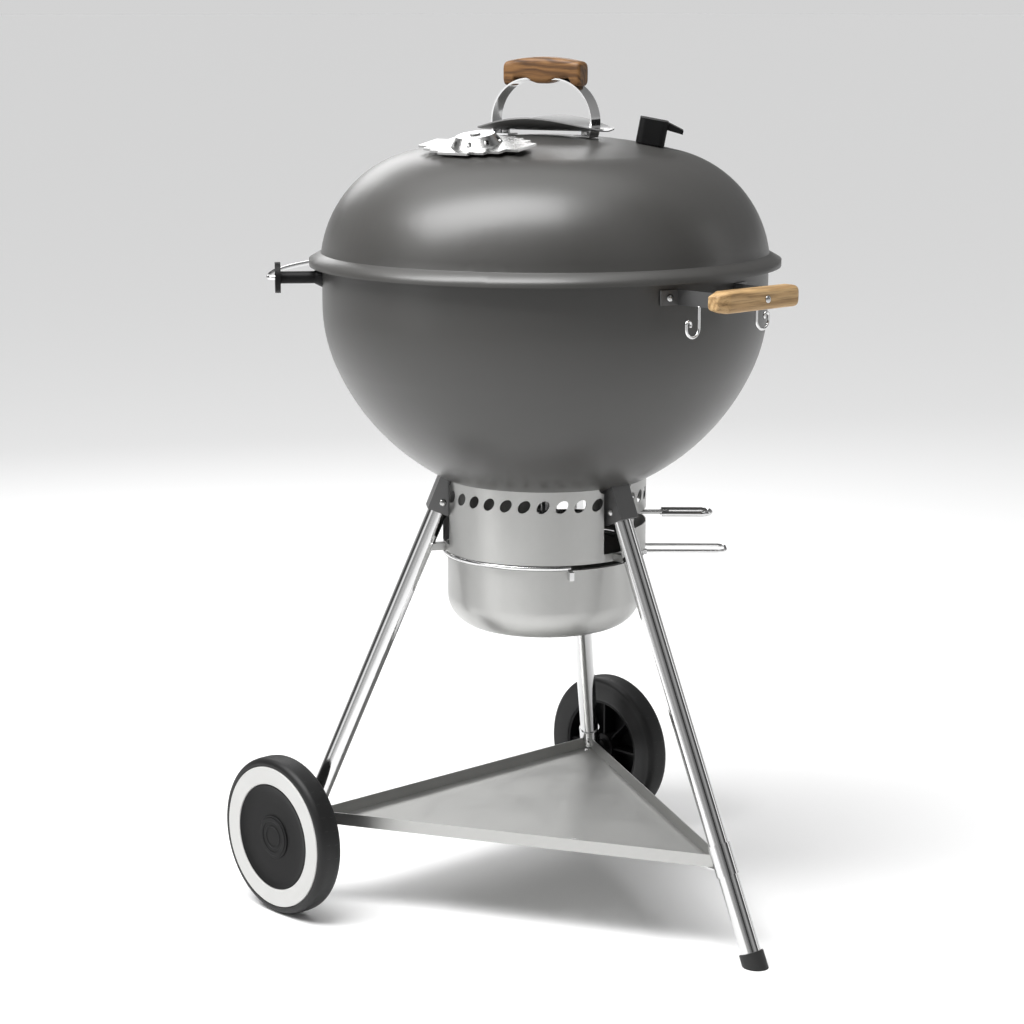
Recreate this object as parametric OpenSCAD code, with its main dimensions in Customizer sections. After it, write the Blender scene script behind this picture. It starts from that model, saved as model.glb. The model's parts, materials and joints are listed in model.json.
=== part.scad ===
// Kettle charcoal grill on a wheeled tripod stand.
// Millimetres. +Z is up, the ground is z = 0 and the axis of the bowl is the Z axis.
// The front, with the wooden carry handle and the leg without a wheel, faces -Y.

/* [Bowl] */
// Outer diameter of the bowl wall
bowl_d = 564; // [480:1:680]
// Height of the middle of the rolled rim above the ground
rim_z = 842; // [760:1:980]
// Thickness of the enamelled sheet of bowl and lid
sheet = 1.5; // [1.2:0.1:2.5]
// Diameter of the rolled rim
rim_bead_d = 10; // [8:0.5:14]
// Straight wall from the rim down to where the bowl starts to curve in
bowl_wall_h = 57; // [40:1:80]
// Depth of the curved part of the bowl
bowl_curve_h = 253; // [240:1:300]
// Radius of the bowl's shoulder
bowl_shoulder_r = 198; // [150:1:220]

/* [Lid] */
// Extra width of the lid over the bowl, across its belt
lid_over = 4; // [2:0.5:8]
// Height of the dome above the middle of its shoulder arc
lid_curve_h = 164.5; // [155:0.5:200]
// Radius of the dome's shoulder
lid_shoulder_r = 148; // [120:1:150]
// How far the dome's shoulder arc runs below the top of the flange
lid_tuck = 19; // [10:1:24]
// Width of the sloping flange
flange_w = 14; // [11:0.5:20]
// Drop of the sloping flange
flange_drop = 8; // [5:0.5:12]
// Height of the straight lip under the flange
lip_h = 8; // [5:0.5:14]
// Gap between the rolled rim and the lid that rests on it
lid_gap = 0.3; // [0.2:0.1:1]
// Way the lid's long handle points, turned from the front
lid_turn = 17; // [0:1:45]

/* [Lid handle] */
// Length of the wooden lid grip
lid_grip_l = 110; // [90:1:130]
// Height of the wooden lid grip at its middle
lid_grip_h = 36; // [28:1:40]
// Width of the wooden lid grip
lid_grip_w = 27; // [24:1:34]
// Half width of the handle strap at its widest
strap_reach = 72; // [64:1:84]
// Outer radius of the strap's round bends
strap_bend_r = 54; // [48:1:58]
// Width of the strap
strap_w = 24; // [18:1:28]
// Thickness of the strap
strap_t = 2; // [1.5:0.1:3]
// Height of the middle of the bends above the skin of the lid at the feet
strap_mid_h = 18.35; // [14.35:1:24.35]
// Half length of the heat shield
shield_l = 88; // [80:1:94]
// Half width of the heat shield
shield_w = 46; // [38:1:52]
// Radius of the heat shield's trough
shield_r = 75; // [64:1:90]
// Height of the heat shield's bottom above the top of the lid
shield_h = 5; // [3:0.5:9]

/* [Lid vent] */
// Distance of the vent from the middle of the lid
vent_at = 131; // [120:1:150]
// Way from the handle's long axis to the vent
vent_turn = -100; // [-110:1:-80]
// Length of the vent plate
vent_l = 160; // [150:1:180]
// Width of the vent plate
vent_w = 92; // [80:1:100]
// Thickness of the vent plate
vent_t = 3; // [2:0.5:4]
// Diameter of the vent's raised hub
vent_hub_d = 64; // [56:1:70]
// Height of the vent's raised hub
vent_hub_h = 12; // [8:1:18]
// Diameter of each hole in the lid under the vent
vent_hole_d = 13; // [10:1:15]

/* [Thermometer] */
// Distance of the thermometer from the middle of the lid
thermo_at = 131; // [115:1:160]
// Way from the handle's long axis to the thermometer
thermo_turn = 27; // [22:1:60]
// Width of the thermometer housing
thermo_w = 54; // [50:1:62]
// Length of the thermometer housing without its hood
thermo_l = 36; // [32:1:42]
// Height of the thermometer housing
thermo_h = 31; // [29:1:38]
// How far the hood stands out over the dial
thermo_hood = 20; // [12:1:26]

/* [Stand] */
// Outer diameter of the leg tubes
leg_d = 25.4; // [22:0.1:30]
// Wall of the leg tubes
leg_wall = 1.5; // [1:0.1:2.5]
// Distance of each leg's top end from the axis
leg_top_r = 130; // [124:1:145]
// Depth of the legs' top ends below the rim
leg_drop = 297; // [290:1:307]
// Distance of the front foot from the axis
foot_r = 376; // [330:1:440]
// Diameter of the rubber foot
foot_d = 31; // [29:1:40]
// Height of the rubber foot
foot_h = 18; // [14:1:26]
// Half distance between the two wheel legs at the axle
axle_leg_x = 262; // [230:1:300]
// Distance of the axle behind the bowl's axis
axle_y = 176; // [140:1:220]
// Diameter of the axle
axle_d = 10; // [8:0.5:12]
// Gap of the socket around the leg
socket_gap = 0.1; // [0.05:0.05:0.5]

/* [Wheels] */
// Outer diameter of the wheels
wheel_d = 206; // [180:1:240]
// Width of the tyres
tyre_w = 35; // [28:1:46]
// Outer diameter of the pale side ring
whitewall_d = 184; // [160:1:190]
// Outer diameter of the hub
hub_d = 138; // [120:1:146]
// Diameter of the cap in the middle of the hub
cap_d = 57; // [44:1:70]
// Gap between the leg and the wheel's sleeve
wheel_gap = 4; // [2:0.5:8]
// Clearance of the bores on the axle, on the diameter
axle_play = 0.1; // [0.04:0.01:0.2]

/* [Tray] */
// Height of the tray's floor above the ground
tray_z = 111; // [104:1:140]
// Thickness of the tray's sheet
tray_t = 1.2; // [1:0.1:2]
// Height of the tray's edges
tray_h = 16; // [12:1:24]
// Distance from a leg's axis to the tray's corner
tray_corner = 8; // [6:1:14]

/* [Ash catcher] */
// Outer diameter of the vented ring
ring_d = 262; // [250:1:270]
// Thickness of the ring's and the pot's sheet
ash_t = 1.2; // [1:0.1:2]
// Depth of the ring's lower edge below the rim
ring_drop = 372; // [364:1:382]
// Number of vent holes between two legs
ring_holes = 10; // [8:1:11]
// Turn from one vent hole to the next
ring_pitch = 10.4; // [9:0.1:10.6]
// Diameter of the hoop round the ash catcher
ash_wire_d = 6; // [5:0.5:7]
// Diameter of the ash catcher's handle wire
ash_grip_d = 4; // [3:0.5:4.5]
// How much narrower the pot is than the ring
pot_step = 12; // [10:1:42]
// Height of the ash pot
pot_h = 95; // [80:1:110]
// Radius of the ash pot's lower edge
pot_round = 40; // [20:1:45]
// Reach of the ash catcher's wire handle from the axis
ash_handle_r = 236; // [200:1:260]
// Width of the ash catcher's wire handle
ash_handle_w = 42; // [34:1:56]

/* [Vent sweep] */
// Way from the front to the sweep lever and the ash handle
lever_turn = 46; // [40:1:56]
// Reach of the sweep lever from the axis
lever_r = 217; // [190:1:240]
// Width of the lever's loop
lever_w = 34; // [26:1:40]
// Diameter of the lever's loop
lever_d = 7; // [5:0.5:9]
// Height of the lever below the bottom of the bowl
lever_drop = 18; // [14:1:24]
// Width of each sweep blade in degrees
blade_turn = 44; // [38:1:46]
// Reach of the sweep blades from the axis
blade_r = 112; // [95:1:116]
// Width of each hole in the bowl's bottom in degrees
port_turn = 34; // [26:1:36]
// Turn of the sweep from the middle to either stop
sweep_turn = 24; // [20:1:26]

/* [Carry handle] */
// Length of the wooden carry handle
bar_l = 140; // [110:1:160]
// Height of the wooden carry handle
bar_h = 26; // [22:1:34]
// Depth of the wooden carry handle
bar_w = 27; // [22:1:34]
// Distance from the bowl's wall to the middle of the wooden bar
bar_out = 71; // [60:1:90]
// Depth of the bar's middle below the middle of the rim
bar_drop = 24; // [20:1:34]
// Distance of the bar's screw from its middle
bar_screw_x = 10; // [-20:1:20]
// Height of the bracket's strap
bracket_h = 18; // [14:1:22]
// Thickness of the bracket's strap
bracket_t = 2.5; // [2:0.1:3.5]

/* [Lid holder] */
// Way from the front to each spool
spool_turn = 127; // [120:1:132]
// Length of the spools out to their discs
spool_l = 52; // [44:1:66]
// Diameter of the spools' tubes
spool_tube_d = 15.5; // [12:0.5:20]
// Diameter of the spools' discs
spool_disc_d = 39; // [32:1:46]
// Thickness of the spools' discs
spool_disc_t = 7; // [4:0.5:9]
// Depth of the spools below the middle of the rim
spool_drop = 22; // [18:1:34]
// Diameter of the holder wire
holder_d = 6; // [5:0.5:8]

/* [Grates] */
// Depth of the cooking grate below the middle of the rim
grate_drop = 40; // [32:1:52]
// Gap between the cooking grate and the bowl
grate_gap = 9; // [6:1:12]
// Diameter of the grates' rods
rod_d = 6; // [5:0.5:7]
// Distance between two rods of the cooking grate
rod_pitch = 19; // [16:1:24]
// Half width of the cooking grate's fixed middle
flap_at = 152; // [133:19:171]
// Distance between two rods of the charcoal grate
coal_pitch = 27; // [24:1:34]
// Radius of the charcoal grate
coal_r = 214; // [195:1:222]

/* [Hidden] */
$fn = 96;
far = 1000;
eps = 0.01;

bowl_r = bowl_d / 2;
lid_d = bowl_d + lid_over;
lid_r = lid_d / 2;
leg_top_z = rim_z - leg_drop;
ring_z = rim_z - ring_drop;
pot_d = ring_d - pot_step;
leg_r = leg_d / 2;
bead_r = rim_bead_d / 2;
ring_r = ring_d / 2;
pot_r = pot_d / 2;

// A dome's crown and shoulder are two arcs that meet tangentially. The height
// from the shoulder's middle down to the crown's middle follows from the others.
function crown_drop(r, shoulder, h) =
    let (a = r - shoulder, e = h - shoulder) (a * a - e * e) / (2 * e);
function crown_r(r, shoulder, h) = crown_drop(r, shoulder, h) + h;
// Height of a dome's crown over its shoulder's middle, at a distance from the axis
function crown_at(r, shoulder, h, d) =
    let (c = crown_r(r, shoulder, h)) sqrt(c * c - d * d) - crown_drop(r, shoulder, h);

bowl_belt_z = rim_z - bowl_wall_h;
bowl_crown_r = crown_r(bowl_r, bowl_shoulder_r, bowl_curve_h);
bowl_crown_z = bowl_belt_z + crown_drop(bowl_r, bowl_shoulder_r, bowl_curve_h);
bowl_bottom_z = bowl_belt_z - bowl_curve_h;
bead_mid_r = bowl_r + bead_r - sheet;

// The flange's underside clears the rolled rim by lid_gap
flange_slope = atan2(flange_drop, flange_w);
flange_under_z = rim_z + (bead_r + lid_gap) / cos(flange_slope);
flange_top_z = flange_under_z + sheet / cos(flange_slope)
    + (bead_mid_r - lid_r) * tan(flange_slope);
lid_belt_z = flange_top_z - lid_tuck;
lid_top_z = lid_belt_z + lid_curve_h;
lip_r = lid_r + flange_w;
lid_crown_r = crown_r(lid_r, lid_shoulder_r, lid_curve_h);

// Height of the lid's skin at a distance from the axis, and its lean there
function lid_skin_z(d) = lid_belt_z + crown_at(lid_r, lid_shoulder_r, lid_curve_h, d);
function lid_lean(d) = asin(d / lid_crown_r);

// Directions are turned from the front, -Y, towards +X
function out(turn, r, z) = [r * sin(turn), -r * cos(turn), z];
LEGS = [0, 120, -120];
axle_z = wheel_d / 2;
foot_point = [0, -foot_r, 0];
axle_leg = [axle_leg_x, axle_y, axle_z];
leg_end_past = 15;

function leg_low(i) = i == 0 ? foot_point : [LEGS[i] > 0 ? axle_leg.x : -axle_leg.x, axle_leg.y, axle_leg.z];
function leg_high(i) = out(LEGS[i], leg_top_r, leg_top_z);
function unit(v) = v / norm(v);
function leg_way(i) = unit(leg_high(i) - leg_low(i));
function leg_at(i, z) = leg_low(i) + leg_way(i) * (z - leg_low(i).z) / leg_way(i).z;

// Places its children with their Z axis on the line from p to q, and X kept outwards
module along(p, q) {
    v = q - p;
    translate(p) rotate([0, acos(v.z / norm(v)), atan2(v.y, v.x)]) children();
}
module rod(p, q, d) {
    along(p, q) cylinder(h = norm(q - p), d = d);
}
module turned(a) {
    rotate([0, 0, a - 90]) children();
}

// Half outline of a solid dome that stands on z = 0
module dome_outline(r, shoulder, h) {
    a = r - shoulder;
    drop = crown_drop(r, shoulder, h);
    way = unit([a, drop]);
    edge = [a, 0] + way * 1.5 * shoulder;
    intersection() {
        translate([0, -drop]) circle(crown_r(r, shoulder, h), $fn = 180);
        polygon([[0, 0], [a, 0], edge, [0, edge.y + h]]);
    }
    intersection() {
        translate([a, 0]) circle(shoulder, $fn = 180);
        polygon([[a, 0], [a + 1.5 * shoulder, 0], [a + 1.5 * shoulder, edge.y], edge]);
    }
}
module dome_shell_outline(r, shoulder, h, t) {
    difference() {
        dome_outline(r, shoulder, h);
        dome_outline(r - t, shoulder - t, h - t);
    }
}
module bowl_body(grow = 0) {
    translate([0, 0, bowl_belt_z]) rotate_extrude($fn = 180) {
        mirror([0, 1]) dome_outline(bowl_r + grow, bowl_shoulder_r + grow, bowl_curve_h + grow);
        square([bowl_r + grow, bowl_wall_h]);
    }
}

/* ---- nodes ---- */

enamel = [0.36, 0.36, 0.34];
steel = [0.72, 0.72, 0.7];
bright = [0.85, 0.85, 0.86];
black = [0.12, 0.12, 0.12];
satin = [0.5, 0.5, 0.5];

/* ---- bowl ---- */
port_in_r = 38;
port_out_r = blade_r - 12;
shaft_d = 12;
shaft_hole_d = shaft_d + 0.1;

module bowl_shell() color(enamel) difference() {
    rotate_extrude($fn = 180) {
        translate([0, bowl_belt_z]) {
            mirror([0, 1])
                dome_shell_outline(bowl_r, bowl_shoulder_r, bowl_curve_h, sheet);
            translate([bowl_r - sheet, 0]) square([sheet, bowl_wall_h]);
            translate([bead_mid_r, bowl_wall_h]) circle(bead_r, $fn = 48);
        }
    }
    translate([0, 0, bowl_bottom_z - 1]) cylinder(h = 20, d = shaft_hole_d);
    // Three ports for air and ash, closed when the sweep stands at its lower stop
    for (i = [0:2])
        turned(120 * i + lever_turn - sweep_turn - port_turn / 2)
            translate([0, 0, bowl_bottom_z - 1])
                rotate_extrude(angle = port_turn) translate([port_in_r, 0])
                    square([port_out_r - port_in_r, 80]);
}

/* ---- stand ---- */
socket_w = leg_d + 5;
socket_low = 26;
socket_high = 40;
screw_d = 5;
screw_head_d = 9;
screw_head_h = 3;

// Frame of a leg's socket: Z runs up the leg, X outwards and Y sideways
module at_socket(i) {
    along(leg_at(i, leg_top_z), leg_at(i, leg_top_z) + leg_way(i)) rotate([0, 0, 180])
        children();
}
module leg_sockets() color(satin) for (i = [0:2]) difference() {
    at_socket(i) difference() {
        rotate([90, 0, 0]) linear_extrude(socket_w, center = true)
            polygon([[-socket_w / 2, -socket_low], [socket_w / 2, -socket_low],
                     [socket_w / 2 + 1, socket_high], [-socket_w / 2 + 6, socket_high]]);
        translate([0, 0, -socket_low - 1]) cylinder(h = socket_low + 1, d = leg_d + 2 * socket_gap);
        for (s = [-1, 1]) translate([0, s * (socket_w / 2 + 1), socket_screw_z])
            rotate([s * 90, 0, 0]) cylinder(h = 4, d = screw_d);
    }
    bowl_body();
}
socket_screw_z = -12;
module socket_screws() color(bright) for (i = [0:2]) at_socket(i) for (s = [-1, 1])
    translate([0, s * socket_w / 2, socket_screw_z]) rotate([-s * 90, 0, 0]) {
        intersection() {
            cylinder(h = screw_head_h, d = screw_head_d);
            translate([0, 0, screw_head_h - 6]) sphere(6, $fn = 48);
        }
        translate([0, 0, -2]) cylinder(h = 2 + eps, d = screw_d - 0.1);
    }

module leg_tube(i, low_cut) {
    top = leg_at(i, leg_top_z);
    along(leg_at(i, low_cut), top) difference() {
        cylinder(h = norm(top - leg_at(i, low_cut)), d = leg_d);
        translate([0, 0, -1]) cylinder(h = far, d = leg_d - 2 * leg_wall);
    }
}
foot_floor = 4;
module leg_front() color(bright) leg_tube(0, foot_floor + 1);
module wheel_leg(i) {
    difference() {
        leg_tube(i, axle_z - leg_end_past);
        translate([-far / 2, axle_y, axle_z]) rotate([0, 90, 0])
            cylinder(h = far, d = axle_d + 0.4);
    }
}
module leg_left() color(bright) wheel_leg(2);
module leg_right() color(bright) wheel_leg(1);

module foot_cap() color(black) difference() {
    way = leg_way(0);
    intersection() {
        along(foot_point - way * 20, foot_point + way * foot_h)
            cylinder(h = foot_h + 20, d = foot_d);
        translate([-far / 2, -foot_r - far / 2, 0]) cube([far, far, far]);
    }
    along(leg_at(0, foot_floor + 1), leg_at(0, 200)) cylinder(h = 200, d = leg_d);
}
// Plugs in the lower ends of the wheel legs, bored for the axle
plug_h = 34;
module leg_plugs() color(black) for (i = [1, 2]) difference() {
    low = leg_at(i, axle_z - leg_end_past);
    along(low, leg_at(i, axle_z)) {
        cylinder(h = plug_h, d = leg_d - 2 * leg_wall);
        translate([0, 0, -3]) cylinder(h = 3, d = leg_d + 1);
    }
    translate([-far / 2, axle_y, axle_z]) rotate([0, 90, 0])
        cylinder(h = far, d = axle_d + 0.4);
}

// The wheel's sleeve starts wheel_gap outside the leg, and the tyre is centred on it
sleeve_x = axle_leg_x + leg_r + leg_end_past * 0.1 + wheel_gap;
sleeve_l = tyre_w - 9.5;
axle_end_x = sleeve_x + sleeve_l + 4.5;
module axle() color(steel) translate([-axle_end_x, axle_y, axle_z]) rotate([0, 90, 0])
    cylinder(h = 2 * axle_end_x, d = axle_d);
retainer_d = 20;
module axle_retainers() color(steel) for (s = [-1, 1])
    translate([s * (sleeve_x + sleeve_l + 0.6), axle_y, axle_z]) rotate([0, s * 90, 0])
        difference() {
            cylinder(h = 2, d = retainer_d);
            translate([0, 0, -1]) cylinder(h = 4, d = axle_d);
        }

/* ---- wheels ---- */
// A wheel is drawn with its axis on Z and its outer face upwards
tyre_edge = 9;
whitewall_t = 2.5;
hub_disc_t = 4;
hub_dish = 3;
module on_axle(s) translate([s * sleeve_x, axle_y, axle_z]) rotate([0, s * 90, 0]) children();
tyre_z = 1;
module tyre() difference() {
    rotate_extrude($fn = 120) difference() {
        union() {
            translate([hub_d / 2, tyre_z + 2]) square([wheel_d / 2 - hub_d / 2 - tyre_edge, tyre_w - 4]);
            translate([hub_d / 2, tyre_z])
                square([whitewall_d / 2 - hub_d / 2 - 2, tyre_w]);
            translate([0, tyre_z + tyre_edge])
                square([wheel_d / 2, tyre_w - 2 * tyre_edge]);
            for (z = [tyre_z + tyre_edge, tyre_z + tyre_w - tyre_edge])
                translate([wheel_d / 2 - tyre_edge, z]) circle(tyre_edge, $fn = 48);
        }
        translate([-eps, -1]) square([hub_d / 2 + eps, tyre_w + 4]);
        // Seat of the pale side ring
        translate([hub_d / 2 - 1, tyre_z + tyre_w - whitewall_t])
            square([(whitewall_d - hub_d) / 2 + 1, whitewall_t + 1]);
    }
}
module whitewall() rotate_extrude($fn = 120)
    translate([hub_d / 2, tyre_z + tyre_w - whitewall_t])
        square([(whitewall_d - hub_d) / 2, whitewall_t + 0.6]);
hub_open_r = 16;
module wheel_hub() difference() {
    union() {
        rotate_extrude($fn = 120) {
            // Rim, disc with an opening for the retainer, drum and sleeve
            translate([hub_d / 2 - 4, tyre_z + 3]) square([4, tyre_w - 3 - whitewall_t]);
            translate([hub_open_r, tyre_z + tyre_w - hub_dish - hub_disc_t])
                square([hub_d / 2 - hub_open_r - 1, hub_disc_t]);
            translate([hub_open_r, 6]) square([3, tyre_z + tyre_w - hub_dish - 7]);
            translate([9, 6]) square([hub_open_r - 8, 4]);
            square([11, sleeve_l]);
        }
        for (k = [0:7]) rotate([0, 0, 45 * k]) translate([hub_open_r + 1, -1.5, tyre_z + 8])
            cube([hub_d / 2 - hub_open_r - 3, 3, tyre_w - hub_dish - 10]);
    }
    translate([0, 0, -1]) cylinder(h = sleeve_l + 4, d = axle_d + axle_play);
}
// Thin cap with a plain raised ring, over the axle's end
module hub_cap() translate([0, 0, tyre_z + tyre_w - hub_dish]) rotate_extrude($fn = 96) {
    square([cap_d / 2, 1.6]);
    translate([cap_d / 2 - 8, 0]) square([5, 2.4]);
}
module tyre_left() color(black) on_axle(-1) tyre();
module tyre_right() color(black) on_axle(1) tyre();
module whitewall_left() color([0.9, 0.9, 0.88]) on_axle(-1) whitewall();
module whitewall_right() color([0.9, 0.9, 0.88]) on_axle(1) whitewall();
module wheel_hub_left() color(black) on_axle(-1) wheel_hub();
module wheel_hub_right() color(black) on_axle(1) wheel_hub();
module hub_cap_left() color([0.2, 0.2, 0.2]) on_axle(-1) hub_cap();
module hub_cap_right() color([0.2, 0.2, 0.2]) on_axle(1) hub_cap();

/* ---- tray ---- */
function flat(p) = [p.x, p.y];
tray_legs = [for (i = [0:2]) flat(leg_at(i, tray_z))];
tray_mid = (tray_legs[0] + tray_legs[1] + tray_legs[2]) / 3;
tray_tri = [for (p = tray_legs) p + unit(tray_mid - p) * tray_corner];
// Middle and radius of the triangle's inscribed circle, used to move its sides in
side_a = norm(tray_tri[1] - tray_tri[2]);
side_b = norm(tray_tri[2] - tray_tri[0]);
side_c = norm(tray_tri[0] - tray_tri[1]);
tri_sum = side_a + side_b + side_c;
tri_mid = (side_a * tray_tri[0] + side_b * tray_tri[1] + side_c * tray_tri[2]) / tri_sum;
tri_in_r = abs((tray_tri[1].x - tray_tri[0].x) * (tray_tri[2].y - tray_tri[0].y)
    - (tray_tri[2].x - tray_tri[0].x) * (tray_tri[1].y - tray_tri[0].y)) / tri_sum;
function tri_inset(t) = [for (p = tray_tri) tri_mid + (p - tri_mid) * (1 - t / tri_in_r)];
clip_t = 1.5;
clip_play = 0.3;
clip_l = 30;
clip_in_d = leg_d + clip_play;

module clip_tube(i, low, high, d) {
    along(leg_at(i, tray_z + low), leg_at(i, tray_z + high)) rotate([0, 0, 50])
        cylinder(h = (high - low) / leg_way(i).z, d = d);
}
module tray() color(steel) difference() {
    translate([0, 0, tray_z]) difference() {
        linear_extrude(tray_h) polygon(tray_tri);
        translate([0, 0, tray_t]) linear_extrude(tray_h) polygon(tri_inset(tray_t));
    }
    for (i = [0:2]) clip_tube(i, -40, 80, clip_in_d + 2 * clip_t + 0.6);
    // Hanging slot
    translate([-60, -110, tray_z - 1]) rotate([0, 0, -30]) {
        linear_extrude(tray_t + 2) polygon([[-11, -1.5], [-9, -3.5], [9, -3.5], [11, -1.5],
                                            [11, 1.5], [9, 3.5], [-9, 3.5], [-11, 1.5]]);
    }
}
// Clips that hold the tray's corners on the legs: a collar and a tongue under the floor
tongue_l = 34;
module tray_clips() color(bright) for (i = [0:2]) {
    mid = leg_at(i, tray_z);
    to_mid = unit(tray_mid - flat(mid));
    difference() {
        union() {
            clip_tube(i, -6, clip_l, clip_in_d + 2 * clip_t);
            translate([mid.x, mid.y, tray_z - clip_t]) rotate([0, 0, atan2(to_mid.y, to_mid.x)])
                translate([clip_in_d / 2 - 1, -8.5, 0]) cube([tongue_l - clip_in_d / 2 + 1, 17, clip_t]);
        }
        clip_tube(i, -40, 80, clip_in_d);
        translate([-far / 2, axle_y, axle_z]) rotate([0, 90, 0])
            cylinder(h = far, d = axle_d + 0.6);
    }
}
rivet_d = 5;
module tray_rivets() color(bright) for (i = [0:2]) {
    mid = leg_at(i, tray_z);
    to_mid = unit(tray_mid - flat(mid));
    at = flat(mid) + to_mid * (tongue_l - 7);
    translate([at.x, at.y, tray_z + tray_t]) intersection() {
        cylinder(h = 2, d = 8);
        translate([0, 0, -3]) sphere(5, $fn = 48);
    }
}

/* ---- ash catcher ---- */
notch_w = 41;
notch_round = 8;
notch_low = 10;
hole_mid_z = 19;
hole_d = 13;
hole_slant = 3;
slot_h = 18;
lever_z = bowl_bottom_z - lever_drop;
// Height at which the ring's outer face meets the bowl
ring_top_z = bowl_crown_z - sqrt(pow(bowl_crown_r, 2) - pow(ring_r, 2));

// An oval that leans to the right
module slanted_hole() linear_extrude(30) rotate([0, 0, 45])
    polygon([for (a = [0:22.5:337.5]) [(hole_d / 2 + hole_slant) * cos(a), hole_d / 2 * sin(a)]]);
// Turns its children so that they look outwards at a direction and height on the ring
module on_ring(turn, z) {
    translate([0, 0, z]) turned(turn) translate([ring_r - 15, 0, 0]) rotate([90, 0, 90])
        children();
}
module ash_ring() color(steel) difference() {
    rotate_extrude($fn = 120) difference() {
        translate([ring_r - ash_t, ring_z]) square([ash_t, ring_top_z - ring_z + 10]);
        translate([0, bowl_crown_z]) circle(bowl_crown_r, $fn = 180);
    }
    for (i = [0:2]) {
        on_ring(LEGS[i], 0) linear_extrude(30) {
            translate([-notch_w / 2, ring_z + notch_low]) square([notch_w, 200]);
            for (s = [-1, 1]) translate([s * notch_w / 2, ring_top_z + 2])
                circle(notch_round, $fn = 12);
        }
        for (k = [0:ring_holes - 1])
            on_ring(LEGS[i] + 60 + (k - (ring_holes - 1) / 2) * ring_pitch, ring_top_z - hole_mid_z)
                slanted_hole();
    }
    // Slot in which the sweep lever swings
    translate([0, 0, lever_z - slot_h / 2]) turned(lever_turn - sweep_turn - slot_more)
        rotate_extrude(angle = 2 * (sweep_turn + slot_more)) translate([ring_r - 10, 0])
            square([20, slot_h]);
}
slot_more = 6;
ring_clip_w = 12;
ring_clip_h = 9;
module ring_clips() color(steel) for (i = [0:2]) difference() {
    turned(LEGS[i]) translate([ring_r, -ring_clip_w / 2, ring_z + 0.5])
        cube([leg_top_r, ring_clip_w, ring_clip_h]);
    difference() {
        turned(LEGS[i]) translate([ring_r, -50, ring_z - 10]) cube([far, 100, 60]);
        translate([0, 0, ring_z - 20]) linear_extrude(80) hull_free_band(i);
    }
    rod(leg_at(i, ring_z - 40), leg_at(i, ring_z + 60), leg_d);
    translate([0, 0, ring_z - 5]) cylinder(h = 40, r = ring_r, $fn = 120);
}
// Ground plan of the strip between the ring and a leg's middle
module hull_free_band(i) {
    reach = norm(flat(leg_at(i, ring_z)));
    rotate([0, 0, LEGS[i] - 90]) translate([ring_r - 8, -50]) square([reach - ring_r + 8, 100]);
}

wire_mid_z = ring_z - ash_wire_d / 2 - 0.5;
wire_mid_r = ring_r - ash_wire_d / 2 + 1.5;
pot_top_z = wire_mid_z - ash_wire_d / 2;
pot_z = pot_top_z - pot_h;
pot_flange = wire_mid_r + 1 - pot_r;
module ash_pot() color(steel) translate([0, 0, pot_z]) rotate_extrude($fn = 120) difference() {
    union() {
        translate([0, 0]) square([pot_r - pot_round, pot_h]);
        translate([0, pot_round]) square([pot_r, pot_h - pot_round]);
        intersection() {
            translate([pot_r - pot_round, pot_round]) circle(pot_round, $fn = 64);
            square([pot_r, pot_h]);
        }
        translate([pot_r - 2, pot_h - ash_t]) square([pot_flange + 2, ash_t]);
    }
    translate([-eps, ash_t]) square([pot_r - pot_round, pot_h]);
    translate([-eps, pot_round]) square([pot_r - ash_t, pot_h]);
    translate([pot_r - pot_round, pot_round]) circle(pot_round - ash_t, $fn = 64);
}
// The wire runs round the catcher from the latch to the handle
latch_turn = -29;
function ring_point(turn) = out(turn, wire_mid_r, wire_mid_z);
handle_half = asin(ash_handle_w / 2 / wire_mid_r);
handle_bend = 12;
module ash_wire_handle() color(bright) translate([0, 0, wire_mid_z]) {
    turned(lever_turn - handle_half)
        rotate([0, 0, 2 * handle_half]) rotate_extrude(angle = hoop_turn, $fn = 120)
            translate([wire_mid_r, 0]) circle(d = ash_wire_d, $fn = 32);
    turned(lever_turn) wire_loop(wire_mid_r * cos(handle_half), ash_handle_r, ash_handle_w,
                                 handle_bend, ash_grip_d);
    // The loop's other end is flattened into a tab that rests on the pot's flange
    turned(lever_turn) translate([wire_mid_r * cos(handle_half) - 6, -ash_handle_w / 2 - 5,
                                  -ash_wire_d / 2]) cube([10, 10, ash_wire_d / 2 + ash_grip_d / 2 + 0.5]);
}
hoop_turn = 360 - lever_turn - handle_half + latch_turn;
// A U of wire that lies level and opens inwards
module wire_loop(start, reach, w, bend, d) {
    far_x = reach - bend - d / 2;
    side = (w - d) / 2;
    for (s = [-1, 1]) {
        rod([start, s * side, 0], [far_x, s * side, 0], d, $fn = 32);
        translate([far_x, s * (side - bend), 0]) rotate([0, 0, s > 0 ? 0 : -90])
            rotate_extrude(angle = 90, $fn = 64) translate([bend, 0]) circle(d = d, $fn = 32);
    }
    if (side > bend + 0.1)
        rod([far_x + bend, bend - side, 0], [far_x + bend, side - bend, 0], d, $fn = 32);
}
module ash_latch() color(bright) difference() {
    turned(latch_turn) translate([pot_r, -3, pot_top_z - 12]) cube([12, 6, 11]);
    translate([0, 0, pot_top_z - 50]) cylinder(h = 100, r = pot_r, $fn = 120);
    translate([0, 0, pot_top_z - ash_t]) cylinder(h = 20, r = pot_r + 20);
}

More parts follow.
